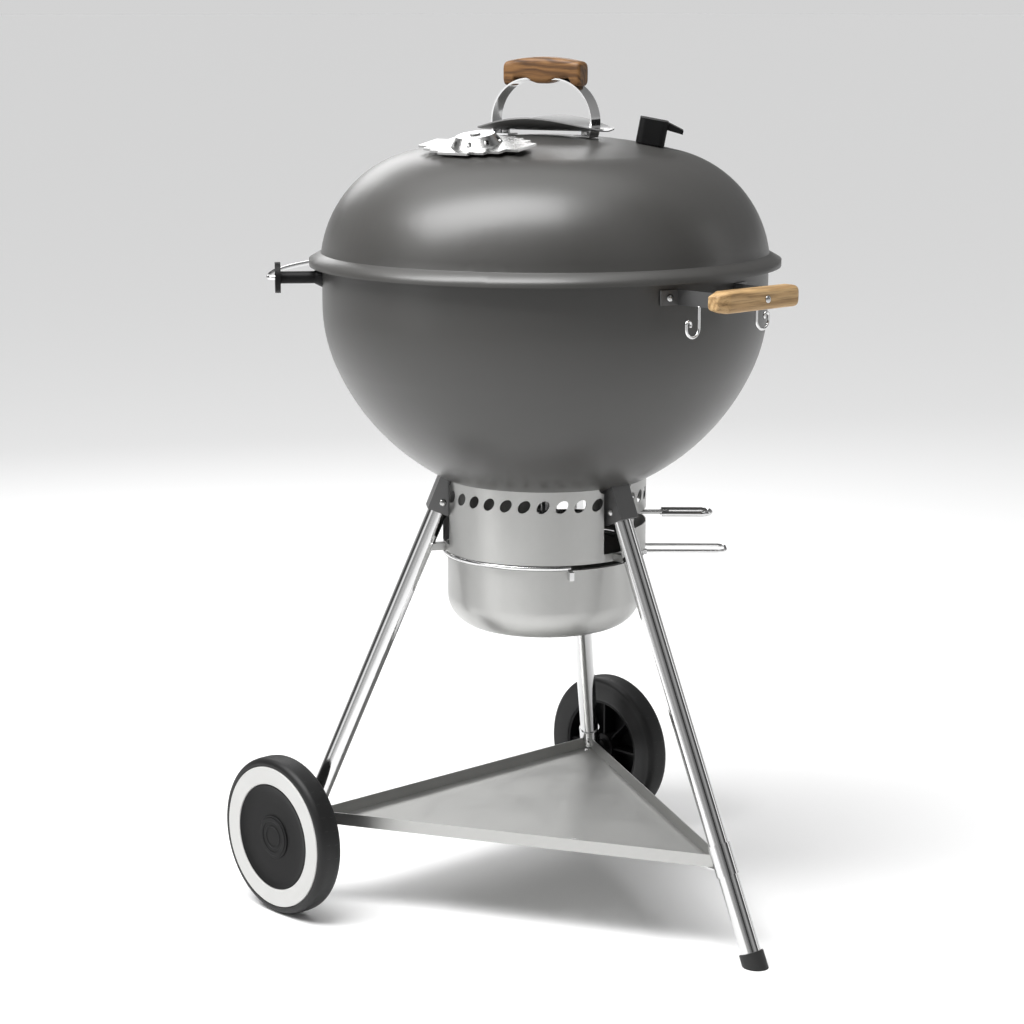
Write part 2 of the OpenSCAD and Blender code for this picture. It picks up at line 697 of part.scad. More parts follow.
/* ---- sweep ---- */
blade_t = 1.5;
blade_gap = 0.4;
blade_in_r = 15;
sweep_hub_h = 10;
inner_crown_r = bowl_crown_r - sheet;
hub_seat_z = bowl_crown_z - sqrt(pow(inner_crown_r - blade_gap, 2) - pow(blade_in_r + 4, 2));
module sweep_blades() color(steel) difference() {
    union() {
        for (i = [0:2]) turned(120 * i + lever_turn - blade_turn / 2)
            rotate_extrude(angle = blade_turn, $fn = 120) intersection() {
                translate([0, bowl_crown_z]) difference() {
                    circle(inner_crown_r - blade_gap, $fn = 180);
                    circle(inner_crown_r - blade_gap - blade_t, $fn = 180);
                }
                translate([blade_in_r, bowl_bottom_z - 10]) square([blade_r - blade_in_r, 60]);
            }
        translate([0, 0, bowl_bottom_z + sheet + blade_gap + 0.2])
            cylinder(h = sweep_hub_h, r = blade_in_r + 3);
    }
    translate([0, 0, bowl_bottom_z - 10]) cylinder(h = 40, d = shaft_d);
}
shaft_top_z = bowl_bottom_z + sheet + blade_gap + sweep_hub_h + 3;
shaft_low_z = lever_z - 6;
module sweep_shaft() color(steel) {
    translate([0, 0, shaft_low_z]) cylinder(h = shaft_top_z - shaft_low_z, d = shaft_d);
}
module sweep_nut() color(bright) translate([0, 0, shaft_top_z - 2.8]) difference() {
    cylinder(h = 5, d = 20, $fn = 6);
    translate([0, 0, -1]) cylinder(h = 3.8, d = shaft_d);
}
lever_t = 3;
lever_bar_w = 16;
loop_start = round(ring_r) + 20;
module sweep_lever() color(steel) translate([0, 0, lever_z - lever_t / 2]) turned(lever_turn)
    difference() {
        union() {
            translate([0, -lever_bar_w / 2, 0]) cube([loop_start + 6, lever_bar_w, lever_t]);
            cylinder(h = lever_t, d = lever_bar_w + 10);
            translate([loop_start - 2, -(lever_w - lever_d) / 2, 0]) cube([12, lever_w - lever_d, lever_t]);
        }
        translate([0, 0, -1]) cylinder(h = 10, d = shaft_d);
        for (s = [-1, 1]) translate([loop_start - 4, s * (lever_w - lever_d) / 2, lever_t / 2])
            rotate([0, 90, 0]) cylinder(h = 30, d = lever_d);
    }
module sweep_loop() color(bright) translate([0, 0, lever_z]) turned(lever_turn)
    wire_loop(loop_start, lever_r, lever_w, 13, lever_d);

/* ---- carry handle ---- */
bar_y = -(bowl_r + bar_out);
bar_z = rim_z - bar_drop;
bar_back_y = bar_y + bar_w / 2;
tab_in_x = 50;
tab_out_x = 74;
// The bracket: a tab on the bowl at each side, two arms and a back behind the bar
function wall_y(x, r) = -sqrt(r * r - x * x);
module strap_plan(points, t) {
    for (k = [0:len(points) - 2]) {
        p = points[k];
        q = points[k + 1];
        along_way = unit(q - p);
        translate(p) rotate([0, 0, atan2(along_way.y, along_way.x)])
            translate([0, -t / 2]) square([norm(q - p), t]);
    }
    for (p = points) translate(p) circle(d = t, $fn = 24);
}
module carry_bracket() color(bright) difference() {
    mid_r = bowl_r + bracket_t / 2;
    back_y = bar_back_y + bracket_t / 2;
    half = [[tab_out_x, wall_y(tab_out_x, mid_r + 0.6)], [tab_in_x, wall_y(tab_in_x, mid_r + 0.6)],
            [tab_in_x, back_y], [0, back_y]];
    translate([0, 0, bar_z - bracket_h / 2]) linear_extrude(bracket_h) {
        strap_plan(half, bracket_t);
        mirror([1, 0]) strap_plan(half, bracket_t);
    }
    bowl_body();
    for (s = [-1, 1]) tab_bolt(s) translate([0, 0, -4]) cylinder(h = 20, d = screw_d);
    translate([bar_screw_x, bar_back_y - 1, bar_z]) rotate([-90, 0, 0]) cylinder(h = 10, d = screw_d);
}
// Frame of a tab's bolt, Z outwards from the bowl's wall
module tab_bolt(s) {
    turn = s * asin((tab_in_x + tab_out_x) / 2 / bowl_r);
    translate([0, 0, bar_z]) turned(turn) translate([bowl_r + bracket_t + 0.6, 0, 0])
        rotate([0, 90, 0]) children();
}
bar_edge = 5;
module carry_bar() color([0.78, 0.64, 0.45]) difference() {
    translate([0, bar_y, bar_z]) intersection() {
        rotate([90, 0, 90]) linear_extrude(bar_l, center = true) rounded(bar_w, bar_h, bar_edge);
        linear_extrude(bar_h, center = true) rounded(bar_l, bar_w, bar_edge);
    }
    translate([bar_screw_x, bar_y - bar_w / 2 - 1, bar_z]) rotate([-90, 0, 0])
        cylinder(h = 80, d = screw_d);
}
// A rectangle with round corners, made of true arcs
module rounded(w, h, r) {
    square([w - 2 * r, h], center = true);
    square([w, h - 2 * r], center = true);
    for (x = [-1, 1], y = [-1, 1]) translate([x * (w / 2 - r), y * (h / 2 - r)])
        circle(r, $fn = 32);
}
module carry_screws() color(bright) {
    for (s = [-1, 1]) tab_bolt(s) {
        intersection() {
            cylinder(h = screw_head_h, d = screw_head_d);
            translate([0, 0, screw_head_h - 6]) sphere(6, $fn = 48);
        }
        translate([0, 0, -2]) cylinder(h = 2 + eps, d = screw_d - 0.2);
    }
    translate([bar_screw_x, bar_y - bar_w / 2, bar_z]) rotate([90, 0, 0]) {
        intersection() {
            cylinder(h = screw_head_h, d = screw_head_d);
            translate([0, 0, screw_head_h - 6]) sphere(6, $fn = 48);
        }
        translate([0, 0, -bar_w - bracket_t]) cylinder(h = bar_w + bracket_t + eps, d = screw_d - 0.2);
    }
}
// Each hook hangs under an arm: a shank down and a round bend outwards
hook_d = 4;
hook_shank = 24;
hook_r = 11;
hook_y = -(bowl_r + bar_out / 2 - 4);
module tool_hooks() color(bright) for (s = [-1, 1])
    translate([s * tab_in_x, hook_y, bar_z - bracket_h / 2]) {
        translate([0, 0, -hook_shank]) cylinder(h = hook_shank, d = hook_d, $fn = 32);
        translate([s * hook_r, 0, -hook_shank]) rotate([90, 0, 0])
            rotate_extrude(angle = 180, start = 180, $fn = 64) translate([hook_r, 0])
                circle(d = hook_d, $fn = 32);
        translate([2 * s * hook_r, 0, -hook_shank]) cylinder(h = 9, d = hook_d, $fn = 32);
    }

/* ---- lid holder ---- */
spool_z = rim_z - spool_drop;
holder_r = bowl_r + spool_l + spool_disc_t + 8;
module at_spool(s) translate([0, 0, spool_z]) turned(s * spool_turn)
    translate([bowl_r, 0, 0]) rotate([0, 90, 0]) children();
module holder_spools() color(black) for (s = [-1, 1]) difference() {
    at_spool(s) {
        translate([0, 0, -4]) cylinder(h = spool_l + 4, d = spool_tube_d);
        translate([0, 0, -4]) cylinder(h = 14, d1 = spool_tube_d + 14, d2 = spool_tube_d);
        translate([0, 0, spool_l]) cylinder(h = spool_disc_t, d = spool_disc_d);
    }
    bowl_body();
    at_spool(s) translate([0, 0, spool_l + spool_disc_t - 5]) cylinder(h = 10, d = holder_d + 0.2);
}
module holder_bolts() color(bright) for (s = [-1, 1]) difference() {
    at_spool(s) translate([0, 0, -8]) cylinder(h = 4.5, d = 12, $fn = 6);
    difference() {
        translate([0, 0, bowl_belt_z]) cylinder(h = 200, r = bowl_r + 50);
        translate([0, 0, bowl_belt_z - 1]) cylinder(h = 202, r = bowl_r - sheet);
    }
}
// A level wire round the back; each end turns in and ends in a spool's disc
elbow_r = 8;
elbow_turn = asin(elbow_r / holder_r);
module holder_wire() color(bright) translate([0, 0, spool_z]) {
    turned(spool_turn + elbow_turn)
        rotate_extrude(angle = 360 - 2 * (spool_turn + elbow_turn), $fn = 180)
            translate([holder_r, 0]) circle(d = holder_d, $fn = 32);
    for (s = [-1, 1]) turned(s * (spool_turn + elbow_turn))
        translate([holder_r - elbow_r, 0, 0]) rotate([0, 0, s > 0 ? -90 : 0])
            rotate_extrude(angle = 90, $fn = 64) translate([elbow_r, 0])
                circle(d = holder_d, $fn = 32);
    for (s = [-1, 1]) turned(s * (spool_turn + elbow_turn))
        rod([holder_r - elbow_r, -s * elbow_r, 0],
            [holder_r - elbow_r - 3.5, -s * elbow_r, 0], holder_d);
}

/* ---- grates ---- */
grate_z = rim_z - grate_drop;
grate_r = bowl_r - sheet - grate_gap;
tab_t = 3;
tab_l = 24;
module grate_tabs() color(satin) for (i = [0:3]) difference() {
    turned(45 + 90 * i) translate([bowl_r - sheet - tab_l, -12, grate_z - rod_d / 2 - tab_t - 0.3])
        cube([tab_l + 10, 24, tab_t]);
    difference() {
        translate([0, 0, grate_z - 50]) cylinder(h = 100, r = bowl_r + 50);
        translate([0, 0, grate_z - 51]) cylinder(h = 102, r = bowl_r - sheet);
    }
}
// The rods are a little thinner than the ring that they are welded to
module bar(p, q) {
    along(p, q) rotate([0, 0, 22.5]) cylinder(h = norm(q - p), d = rod_d - 0.8, $fn = 8);
}
function chord(r, x) = sqrt(r * r - x * x);
// Half turn that the fixed middle's round ends cover, seen from the front and the back
middle_turn = asin(flap_at / grate_r);
module cooking_grate() color(bright) translate([0, 0, grate_z]) {
    for (a = [0, 180]) turned(a - middle_turn)
        rotate_extrude(angle = 2 * middle_turn, $fn = 120) translate([grate_r - rod_d / 2, 0])
            circle(d = rod_d, $fn = 8);
    for (x = [-flap_at:rod_pitch:flap_at]) {
        y = chord(grate_r - rod_d / 2, min(abs(x), flap_at - 1)) - 1;
        bar([x, -y, 0], [x, y, 0]);
    }
    for (y = [-130, 130]) bar([-flap_at, y, -rod_d * 0.6], [flap_at, y, -rod_d * 0.6]);
}
eye_d = 13;
eye_w = 6;
eye_y = [-150, 150];
flap_bar_x = flap_at + 14;
flap_turn = acos((flap_bar_x) / (grate_r - rod_d / 2));
module grate_flap() translate([0, 0, grate_z]) {
    turned(90 - flap_turn) rotate_extrude(angle = 2 * flap_turn, $fn = 120)
        translate([grate_r - rod_d / 2, 0]) circle(d = rod_d, $fn = 8);
    for (x = [flap_bar_x:rod_pitch:grate_r - rod_d - 6]) {
        y = chord(grate_r - rod_d / 2, x) - 1;
        bar([x, -y, 0], [x, y, 0]);
    }
    bar([flap_bar_x, 0, -rod_d * 0.6], [grate_r - rod_d, 0, -rod_d * 0.6]);
    // Eyes that turn on the edge rod of the fixed middle
    for (y = eye_y) translate([flap_at, y, 0]) rotate([90, 0, 0]) difference() {
        union() {
            cylinder(h = eye_w, d = eye_d, center = true);
            translate([0, -2, -eye_w / 2]) cube([flap_bar_x - flap_at, 4, eye_w]);
        }
        cylinder(h = 20, d = rod_d + 0.1, center = true);
    }
}
module grate_flap_right() color(bright) grate_flap();
module grate_flap_left() color(bright) mirror([1, 0, 0]) grate_flap();
lift_x = 60;
lift_h = 26;
module grate_lift_handles() color(bright) for (s = [-1, 1])
    translate([0, s * (grate_r - 40), grate_z + rod_d / 2]) {
        for (x = [-1, 1]) {
            translate([x * lift_x / 2, 0, 0]) cylinder(h = lift_h - 8, d = 5, $fn = 32);
            translate([x * (lift_x / 2 - 8), 0, lift_h - 8]) rotate([90, 0, x > 0 ? 0 : 180])
                rotate_extrude(angle = 90, $fn = 48) translate([8, 0]) circle(d = 5, $fn = 32);
        }
        translate([0, 0, lift_h]) rotate([0, 90, 0]) cylinder(h = lift_x - 16, d = 5, $fn = 32, center = true);
    }
// The charcoal grate lies on the bowl, where its inside is a little wider than the grate
coal_seat_z = bowl_crown_z - sqrt(pow(inner_crown_r, 2) - pow(coal_r + 1, 2)) + 3;
module charcoal_grate() color(steel) translate([0, 0, coal_seat_z]) {
    rotate_extrude($fn = 120) translate([coal_r - rod_d / 2, 0]) circle(d = rod_d, $fn = 8);
    for (x = [-7 * coal_pitch:coal_pitch:7 * coal_pitch]) {
        y = chord(coal_r - rod_d / 2, x) - 1;
        bar([x, -y, 0], [x, y, 0]);
    }
    for (y = [-90, 90]) {
        x = chord(coal_r - rod_d / 2, y) - 1;
        bar([-x, y, -rod_d * 0.6], [x, y, -rod_d * 0.6]);
    }
}

/* ---- lid ---- */
// Frame of the lid's fittings: X along its handle
module lid_frame() turned(lid_turn) children();
// Frame on the lid's skin, Z outwards from the skin and X away from the middle
module on_lid(turn, at) lid_frame() rotate([0, 0, turn])
    translate([at, 0, lid_skin_z(at)]) rotate([0, lid_lean(at), 0]) children();
foot_bolt_d = 6;
vent_hole_at = 19;
stem_d = 7;
module lid_shell() color(enamel) difference() {
    rotate_extrude($fn = 180) {
        translate([0, lid_belt_z]) difference() {
            dome_shell_outline(lid_r, lid_shoulder_r, lid_curve_h, sheet);
            translate([0, -1]) square([far, lid_tuck - flange_cut + 1]);
        }
        polygon(flange_points);
    }
    lid_frame() for (s = [-1, 1]) translate([s * strap_foot_x, 0, lid_top_z - 20])
        cylinder(h = 30, d = foot_bolt_d);
    on_lid(vent_turn, vent_at) {
        for (k = [0:3]) rotate([0, 0, 90 * k]) translate([vent_hole_at, 0, -10])
            cylinder(h = 20, d = vent_hole_d);
        translate([0, 0, -10]) cylinder(h = 20, d = vent_rivet_d);
    }
    on_lid(thermo_turn, thermo_at) translate([thermo_stem_x, 0, -10]) cylinder(h = 20, d = stem_d);
}
flange_cut = 1;
sheet_z = sheet / cos(flange_slope);
flange_points = [
    [lid_r - sheet - 0.1, flange_top_z - flange_cut - sheet_z + 0.4],
    [lid_r, flange_under_z + (bead_mid_r - lid_r) * tan(flange_slope)],
    [lip_r - sheet, flange_under_z - (lip_r - sheet - bead_mid_r) * tan(flange_slope)],
    [lip_r - sheet, flange_top_z - flange_drop - lip_h],
    [lip_r, flange_top_z - flange_drop - lip_h],
    [lip_r, flange_top_z - flange_drop],
    [lid_r, flange_top_z],
    [lid_r - sheet - 0.1, flange_top_z + 0.4]];

// Strap: two round bends joined by a flat top, with feet turned in on the lid
strap_foot_x = strap_reach - 14;
strap_mid_z = lid_skin_z(strap_foot_x) + strap_mid_h;
strap_mid_x = strap_reach - strap_bend_r;
foot_l = 22;
foot_end_turn = 20;
strap_top_z = strap_mid_z + strap_bend_r;
strap_more = 0.15;
module strap_side() {
    leg_x = strap_mid_x + strap_bend_r * cos(foot_end_turn);
    leg_z = strap_mid_z - strap_bend_r * sin(foot_end_turn);
    foot_z = lid_skin_z(strap_foot_x) + 0.8;
    translate([strap_mid_x, strap_mid_z]) intersection() {
        difference() {
            circle(strap_bend_r, $fn = 120);
            circle(strap_bend_r - strap_t, $fn = 120);
        }
        polygon([[0, 0], [0, 80], [90, 80], [90, 0],
                 [90 * cos(foot_end_turn), -90 * sin(foot_end_turn)]]);
    }
    // Down to the lid and in along it
    polygon([[leg_x + 0.8, leg_z + 1.5], [leg_x - strap_t - 0.8, leg_z + 1.5],
             [leg_x - strap_t - 3, foot_z + strap_t], [strap_foot_x - foot_l / 2, foot_z + strap_t],
             [strap_foot_x - foot_l / 2, foot_z], [leg_x - 1, foot_z]]);
}
module lid_strap() color(bright) difference() {
    lid_frame() rotate([90, 0, 0]) linear_extrude(strap_w, center = true) {
        strap_side();
        mirror([1, 0]) strap_side();
        translate([0, strap_top_z - strap_t / 2])
            square([2 * strap_mid_x + 2, strap_t + 2 * strap_more], center = true);
    }
    lid_frame() for (s = [-1, 1]) {
        translate([s * strap_foot_x, 0, lid_top_z - 20]) cylinder(h = 40, d = foot_bolt_d);
        translate([s * grip_screw_x, 0, strap_top_z - 20]) cylinder(h = 40, d = 4);
    }
}
grip_screw_x = 14;
grip_low_z = strap_top_z - 10;
grip_edge = 7;
// Crowned wooden grip: long arc on top, the strap let into its underside
module lid_grip() color([0.55, 0.36, 0.2]) difference() {
    lid_frame() translate([0, 0, grip_low_z]) intersection() {
        rotate([90, 0, 0]) linear_extrude(lid_grip_w, center = true) intersection() {
            translate([0, lid_grip_h - grip_top_r]) circle(grip_top_r, $fn = 180);
            translate([0, far / 2 - 4]) square([lid_grip_l, far], center = true);
            translate([-lid_grip_l, 0]) square([2 * lid_grip_l, 60]);
        }
        translate([0, 0, lid_grip_h / 2]) rotate([90, 0, 90]) linear_extrude(lid_grip_l + 2, center = true)
            rounded(lid_grip_w, lid_grip_h, grip_edge);
    }
    lid_frame() {
        // Channel for the strap, a little wider than it
        translate([0, 0, grip_low_z - 1]) rotate([90, 0, 0])
            translate([0, -grip_low_z + 1]) linear_extrude(strap_w + 0.4, center = true)
                difference() {
                    union() {
                        square([2 * strap_mid_x, 2 * (strap_top_z + 0.2)], center = true);
                        for (s = [-1, 1]) translate([s * strap_mid_x, strap_mid_z])
                            circle(strap_bend_r + 0.2, $fn = 120);
                    }
                }
        for (s = [-1, 1]) translate([s * grip_screw_x, 0, strap_top_z - 20]) cylinder(h = 34, d = 3.9);
    }
}
grip_drop = 7;
grip_top_r = (pow(lid_grip_l / 2, 2) + grip_drop * grip_drop) / (2 * grip_drop);
module lid_grip_screws() color(bright) lid_frame() for (s = [-1, 1])
    translate([s * grip_screw_x, 0, strap_top_z - strap_t - strap_more - 2.2]) {
        cylinder(h = 2.2, d = 8);
        cylinder(h = 16, d = 3.8);
    }
// Boat-shaped trough of thin sheet with two round feet
shield_t = 1.5;
shield_z = lid_top_z + shield_h;
shield_long = shield_l + 22;
shield_round = (shield_long * shield_long - shield_w * shield_w) / (2 * shield_w) + shield_w;
shield_foot_d = 17;
module lid_shield() color(satin) difference() {
    lid_frame() union() {
        intersection() {
            translate([0, 0, shield_z + shield_r]) rotate([0, 90, 0]) difference() {
                cylinder(h = 3 * shield_l, r = shield_r, center = true, $fn = 180);
                cylinder(h = 4 * shield_l, r = shield_r - shield_t, center = true, $fn = 180);
            }
            translate([0, 0, shield_z - 1]) linear_extrude(shield_r) intersection() {
                translate([0, shield_round - shield_w]) circle(shield_round, $fn = 180);
                translate([0, shield_w - shield_round]) circle(shield_round, $fn = 180);
                rounded(2 * shield_l, 2 * shield_w, 16);
            }
        }
    }
    lid_frame() for (s = [-1, 1]) {
        translate([s * strap_foot_x, 0, lid_top_z - 20]) cylinder(h = 60, d = foot_bolt_d);
        // Slot for the strap
        translate([s * strap_reach, 0, lid_top_z + 20]) cube([12, strap_w + 1.4, 60], center = true);
    }
}
bolt_head_h = 3;
module lid_bolts() color(bright) lid_frame() for (s = [-1, 1])
    translate([s * strap_foot_x, 0, 0]) {
        translate([0, 0, shield_z + shield_t + 0.22]) intersection() {
            cylinder(h = bolt_head_h, d = 11);
            translate([0, 0, bolt_head_h - 8]) sphere(8, $fn = 48);
        }
        translate([0, 0, lid_top_z - 11]) cylinder(h = shield_z - lid_top_z + 11 + shield_t + 0.3, d = foot_bolt_d - 0.1);
        // Spacer between the strap's foot and the shield
        translate([0, 0, lid_skin_z(strap_foot_x) + strap_t + 1.1])
            cylinder(h = shield_z - lid_skin_z(strap_foot_x) - strap_t - 1.2, d = 12);
    }

/* ---- lid vent ---- */
vent_rivet_d = 6;
vent_lift = 2.2;
vent_top_d = 48;
vent_wall = 2;
// Stepped plate that turns on a rivet, with a hollow round hub in the middle
module vent_plan() {
    square([vent_w * 0.38, vent_l], center = true);
    square([vent_w * 0.66, vent_l * 0.76], center = true);
    square([vent_w * 0.84, vent_l * 0.54], center = true);
    square([vent_w, vent_l * 0.3], center = true);
}
module vent_plate() color(bright) on_lid(vent_turn, vent_at) translate([0, 0, vent_lift]) difference() {
    union() {
        linear_extrude(vent_t) vent_plan();
        translate([0, 0, vent_t - eps])
            cylinder(h = vent_hub_h, d1 = vent_hub_d, d2 = vent_top_d);
    }
    // Hollow under the hub, holes round its side and through its floor
    translate([0, 0, 0]) difference() {
        translate([0, 0, vent_t])
            cylinder(h = vent_hub_h - vent_wall, d1 = vent_hub_d - 3 * vent_wall, d2 = vent_top_d - 2 * vent_wall);
        cylinder(h = 60, d = vent_rivet_d + 8);
    }
    for (k = [0:3]) rotate([0, 0, 90 * k + 45]) translate([vent_hole_at, 0, -1])
        cylinder(h = vent_t + 2, d = vent_hole_d);
    for (k = [0:7]) rotate([0, 0, 45 * k + 22.5]) translate([vent_hub_d / 2 - 14, 0, vent_t + vent_hub_h / 2 - 1])
        rotate([0, 90, 0]) cylinder(h = 20, d = 6.5, $fn = 32);
    translate([0, 0, -1]) cylinder(h = 40, d = vent_rivet_d + 0.1);
}
module vent_rivet() color(bright) on_lid(vent_turn, vent_at) {
    translate([0, 0, -6]) cylinder(h = vent_lift + vent_t + vent_hub_h + 6.3, d = vent_rivet_d);
    translate([0, 0, vent_lift + vent_t + vent_hub_h + 0.2]) cylinder(h = 1.6, d = 13);
    translate([0, 0, -7.6]) cylinder(h = 1.7, d = 12);
    // Washer that keeps the plate off the skin
    translate([0, 0, 0.5]) cylinder(h = vent_lift - 0.6, d = 12);
}

/* ---- thermometer ---- */
thermo_stem_x = -4;
thermo_round = 8;
thermo_seat = 1.0;
dial_d = 24;
dial_mid_z = thermo_h / 2 - 3;
// A block with round side corners, a pocket for the dial and a sloping hood
module thermo_housing() color(black) on_lid(thermo_turn, thermo_at) translate([0, 0, thermo_seat])
    difference() {
        union() {
            linear_extrude(thermo_h) rounded(thermo_l, thermo_w, thermo_round);
            rotate([90, 0, 0]) linear_extrude(thermo_w - 2 * thermo_round, center = true)
                polygon([[0, thermo_h], [thermo_l / 2 - 4, thermo_h], [thermo_l / 2 + thermo_hood, thermo_h - 7],
                         [thermo_l / 2 + thermo_hood, thermo_h - 12], [thermo_l / 2 - 1, thermo_h - 10],
                         [0, thermo_h - 10]]);
        }
        translate([thermo_l / 2 - 10, 0, dial_mid_z]) rotate([0, 90, 0])
            cylinder(h = 11, d = dial_d + 0.2);
        translate([thermo_stem_x, 0, -1]) cylinder(h = 6, d = stem_d);
    }
module thermo_dial() color([0.93, 0.93, 0.9]) on_lid(thermo_turn, thermo_at)
    translate([thermo_l / 2 - 10, 0, dial_mid_z + thermo_seat]) rotate([0, 90, 0])
        cylinder(h = 3, d = dial_d);
module thermo_pointer() color([0.7, 0.1, 0.08]) on_lid(thermo_turn, thermo_at)
    translate([thermo_l / 2 - 6.6, 0, dial_mid_z + thermo_seat]) rotate([0, 90, 0]) rotate([0, 0, 130]) {
        translate([-2, -0.6, 0]) cube([12, 1.2, 0.8]);
        cylinder(h = 1.2, d = 3.4, $fn = 32);
    }
module thermo_lens() color([0.8, 0.85, 0.9, 0.4]) on_lid(thermo_turn, thermo_at)
    translate([thermo_l / 2 - 3.6, 0, dial_mid_z + thermo_seat]) rotate([0, 90, 0])
        cylinder(h = 2, d = dial_d);
stem_down = 62;
module thermo_stem() color(bright) on_lid(thermo_turn, thermo_at)
    translate([thermo_stem_x, 0, -stem_down]) {
        cylinder(h = stem_down + thermo_seat + 4.5, d = stem_d - 0.1);
    }
module thermo_nut() color(bright) on_lid(thermo_turn, thermo_at)
    translate([thermo_stem_x, 0, -sheet - 5.5]) difference() {
        cylinder(h = 5, d = 14, $fn = 6);
        translate([0, 0, -1]) cylinder(h = 7, d = stem_d);
    }

/* ---- what is drawn ---- */
bowl_shell();
leg_sockets();
socket_screws();
leg_front();
leg_left();
leg_right();
foot_cap();
leg_plugs();
axle();
axle_retainers();
tyre_left();
tyre_right();
whitewall_left();
whitewall_right();
wheel_hub_left();
wheel_hub_right();
hub_cap_left();
hub_cap_right();
tray();
tray_clips();
tray_rivets();
ash_ring();
ring_clips();
ash_pot();
ash_wire_handle();
ash_latch();
sweep_blades();
sweep_shaft();
sweep_lever();
sweep_loop();
sweep_nut();
carry_bracket();
carry_bar();
carry_screws();
tool_hooks();
holder_spools();
holder_bolts();
holder_wire();
grate_tabs();
charcoal_grate();
cooking_grate();
grate_flap_left();
grate_flap_right();
grate_lift_handles();
lid_shell();
lid_strap();
lid_grip();
lid_grip_screws();
lid_shield();
lid_bolts();
vent_plate();
vent_rivet();
thermo_housing();
thermo_dial();
thermo_lens();
thermo_pointer();
thermo_stem();
thermo_nut();
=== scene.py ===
import json
import math

import bmesh
import bpy
from mathutils import Matrix, Vector


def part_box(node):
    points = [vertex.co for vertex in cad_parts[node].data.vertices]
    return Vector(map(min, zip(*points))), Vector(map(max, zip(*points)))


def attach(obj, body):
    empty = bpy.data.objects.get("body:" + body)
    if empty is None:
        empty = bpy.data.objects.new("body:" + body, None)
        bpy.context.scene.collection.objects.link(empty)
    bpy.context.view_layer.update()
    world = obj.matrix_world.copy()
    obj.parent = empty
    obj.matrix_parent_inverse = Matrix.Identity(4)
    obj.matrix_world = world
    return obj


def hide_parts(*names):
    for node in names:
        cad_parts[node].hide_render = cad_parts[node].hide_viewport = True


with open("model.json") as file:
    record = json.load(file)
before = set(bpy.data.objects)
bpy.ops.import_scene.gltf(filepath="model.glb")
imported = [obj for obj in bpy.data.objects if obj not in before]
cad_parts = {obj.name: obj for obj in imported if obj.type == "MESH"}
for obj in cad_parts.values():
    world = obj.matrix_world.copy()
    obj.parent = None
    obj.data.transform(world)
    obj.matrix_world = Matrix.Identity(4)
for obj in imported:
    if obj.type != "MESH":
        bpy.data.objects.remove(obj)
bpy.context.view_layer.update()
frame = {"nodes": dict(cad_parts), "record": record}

# ---------------------------------------------------------------- sizes
# Millimetres, as in the CAD source. +Z is up and the front faces -Y.
MM = 0.001
LID_TURN = 17.0  # degrees from the front to the lid grip's long axis
GRIP_Z = 1078.0
WHEEL_Y, WHEEL_Z = 176.0, 103.0
WHEEL_R = 103.0
WHITEWALL_R = 92.0
HUB_R = 69.0
BAR_Y, BAR_Z = -353.0, 818.0
SHARP = 32.0  # degrees between two faces, from which their edge is kept sharp
EDGE_ROUND = 0.35


# ---------------------------------------------------------------- materials
def new_material(name):
    mat = bpy.data.materials.new(name)
    mat.use_nodes = True
    nodes = mat.node_tree.nodes
    nodes.clear()
    out = nodes.new("ShaderNodeOutputMaterial")
    shader = nodes.new("ShaderNodeBsdfPrincipled")
    mat.node_tree.links.new(shader.outputs["BSDF"], out.inputs["Surface"])
    return mat, shader


def put(tree, kind, **values):
    """A node in tree. A value is a property, a socket's number or an output to link to it.

    A key such as i0 is the socket of that number.
    """
    node = tree.nodes.new(kind)
    for key, value in values.items():
        if hasattr(node, key) and key not in node.inputs:
            setattr(node, key, value)
            continue
        numbered = key[0] == "i" and key[1:].isdigit()
        socket = node.inputs[int(key[1:]) if numbered else key]
        if isinstance(value, bpy.types.NodeSocket):
            tree.links.new(value, socket)
        else:
            socket.default_value = value
    return node


def group(name, inputs, outputs):
    """An empty node group with inputs (name, type, default) and outputs (name, type)."""
    tree = bpy.data.node_groups.new(name, "ShaderNodeTree")
    for key, kind, default in inputs:
        socket = tree.interface.new_socket(key, in_out="INPUT", socket_type=kind)
        if default is not None:
            socket.default_value = default
    for key, kind in outputs:
        tree.interface.new_socket(key, in_out="OUTPUT", socket_type=kind)
    return tree, tree.nodes.new("NodeGroupInput"), tree.nodes.new("NodeGroupOutput")


def math_node(tree, operation, a, b=0.0):
    return put(tree, "ShaderNodeMath", operation=operation, i0=a, i1=b).outputs[0]


def make_wear_group():
    """Fine smudges and a faint relief, shared by every hard finish."""
    tree, source, sink = group(
        "surface wear",
        [("Vector", "NodeSocketVector", None), ("Smudge size", "NodeSocketFloat", 9.0),
         ("Grain size", "NodeSocketFloat", 900.0), ("Grain depth", "NodeSocketFloat", 0.1)],
        [("Smudge", "NodeSocketFloat"), ("Normal", "NodeSocketVector")])
    smudge = put(tree, "ShaderNodeTexNoise", Vector=source.outputs["Vector"],
                 Scale=source.outputs["Smudge size"], Detail=5.0, Roughness=0.62, Distortion=0.3)
    spread = put(tree, "ShaderNodeMapRange", Value=smudge.outputs["Fac"])
    spread.inputs["From Min"].default_value = 0.32
    spread.inputs["From Max"].default_value = 0.7
    grain = put(tree, "ShaderNodeTexNoise", Vector=source.outputs["Vector"],
                Scale=source.outputs["Grain size"], Detail=2.0, Roughness=0.5)
    bump = put(tree, "ShaderNodeBump", Strength=source.outputs["Grain depth"], Distance=0.0004,
               Height=grain.outputs["Fac"])
    tree.links.new(spread.outputs["Result"], sink.inputs["Smudge"])
    tree.links.new(bump.outputs["Normal"], sink.inputs["Normal"])
    return tree


WEAR = make_wear_group()


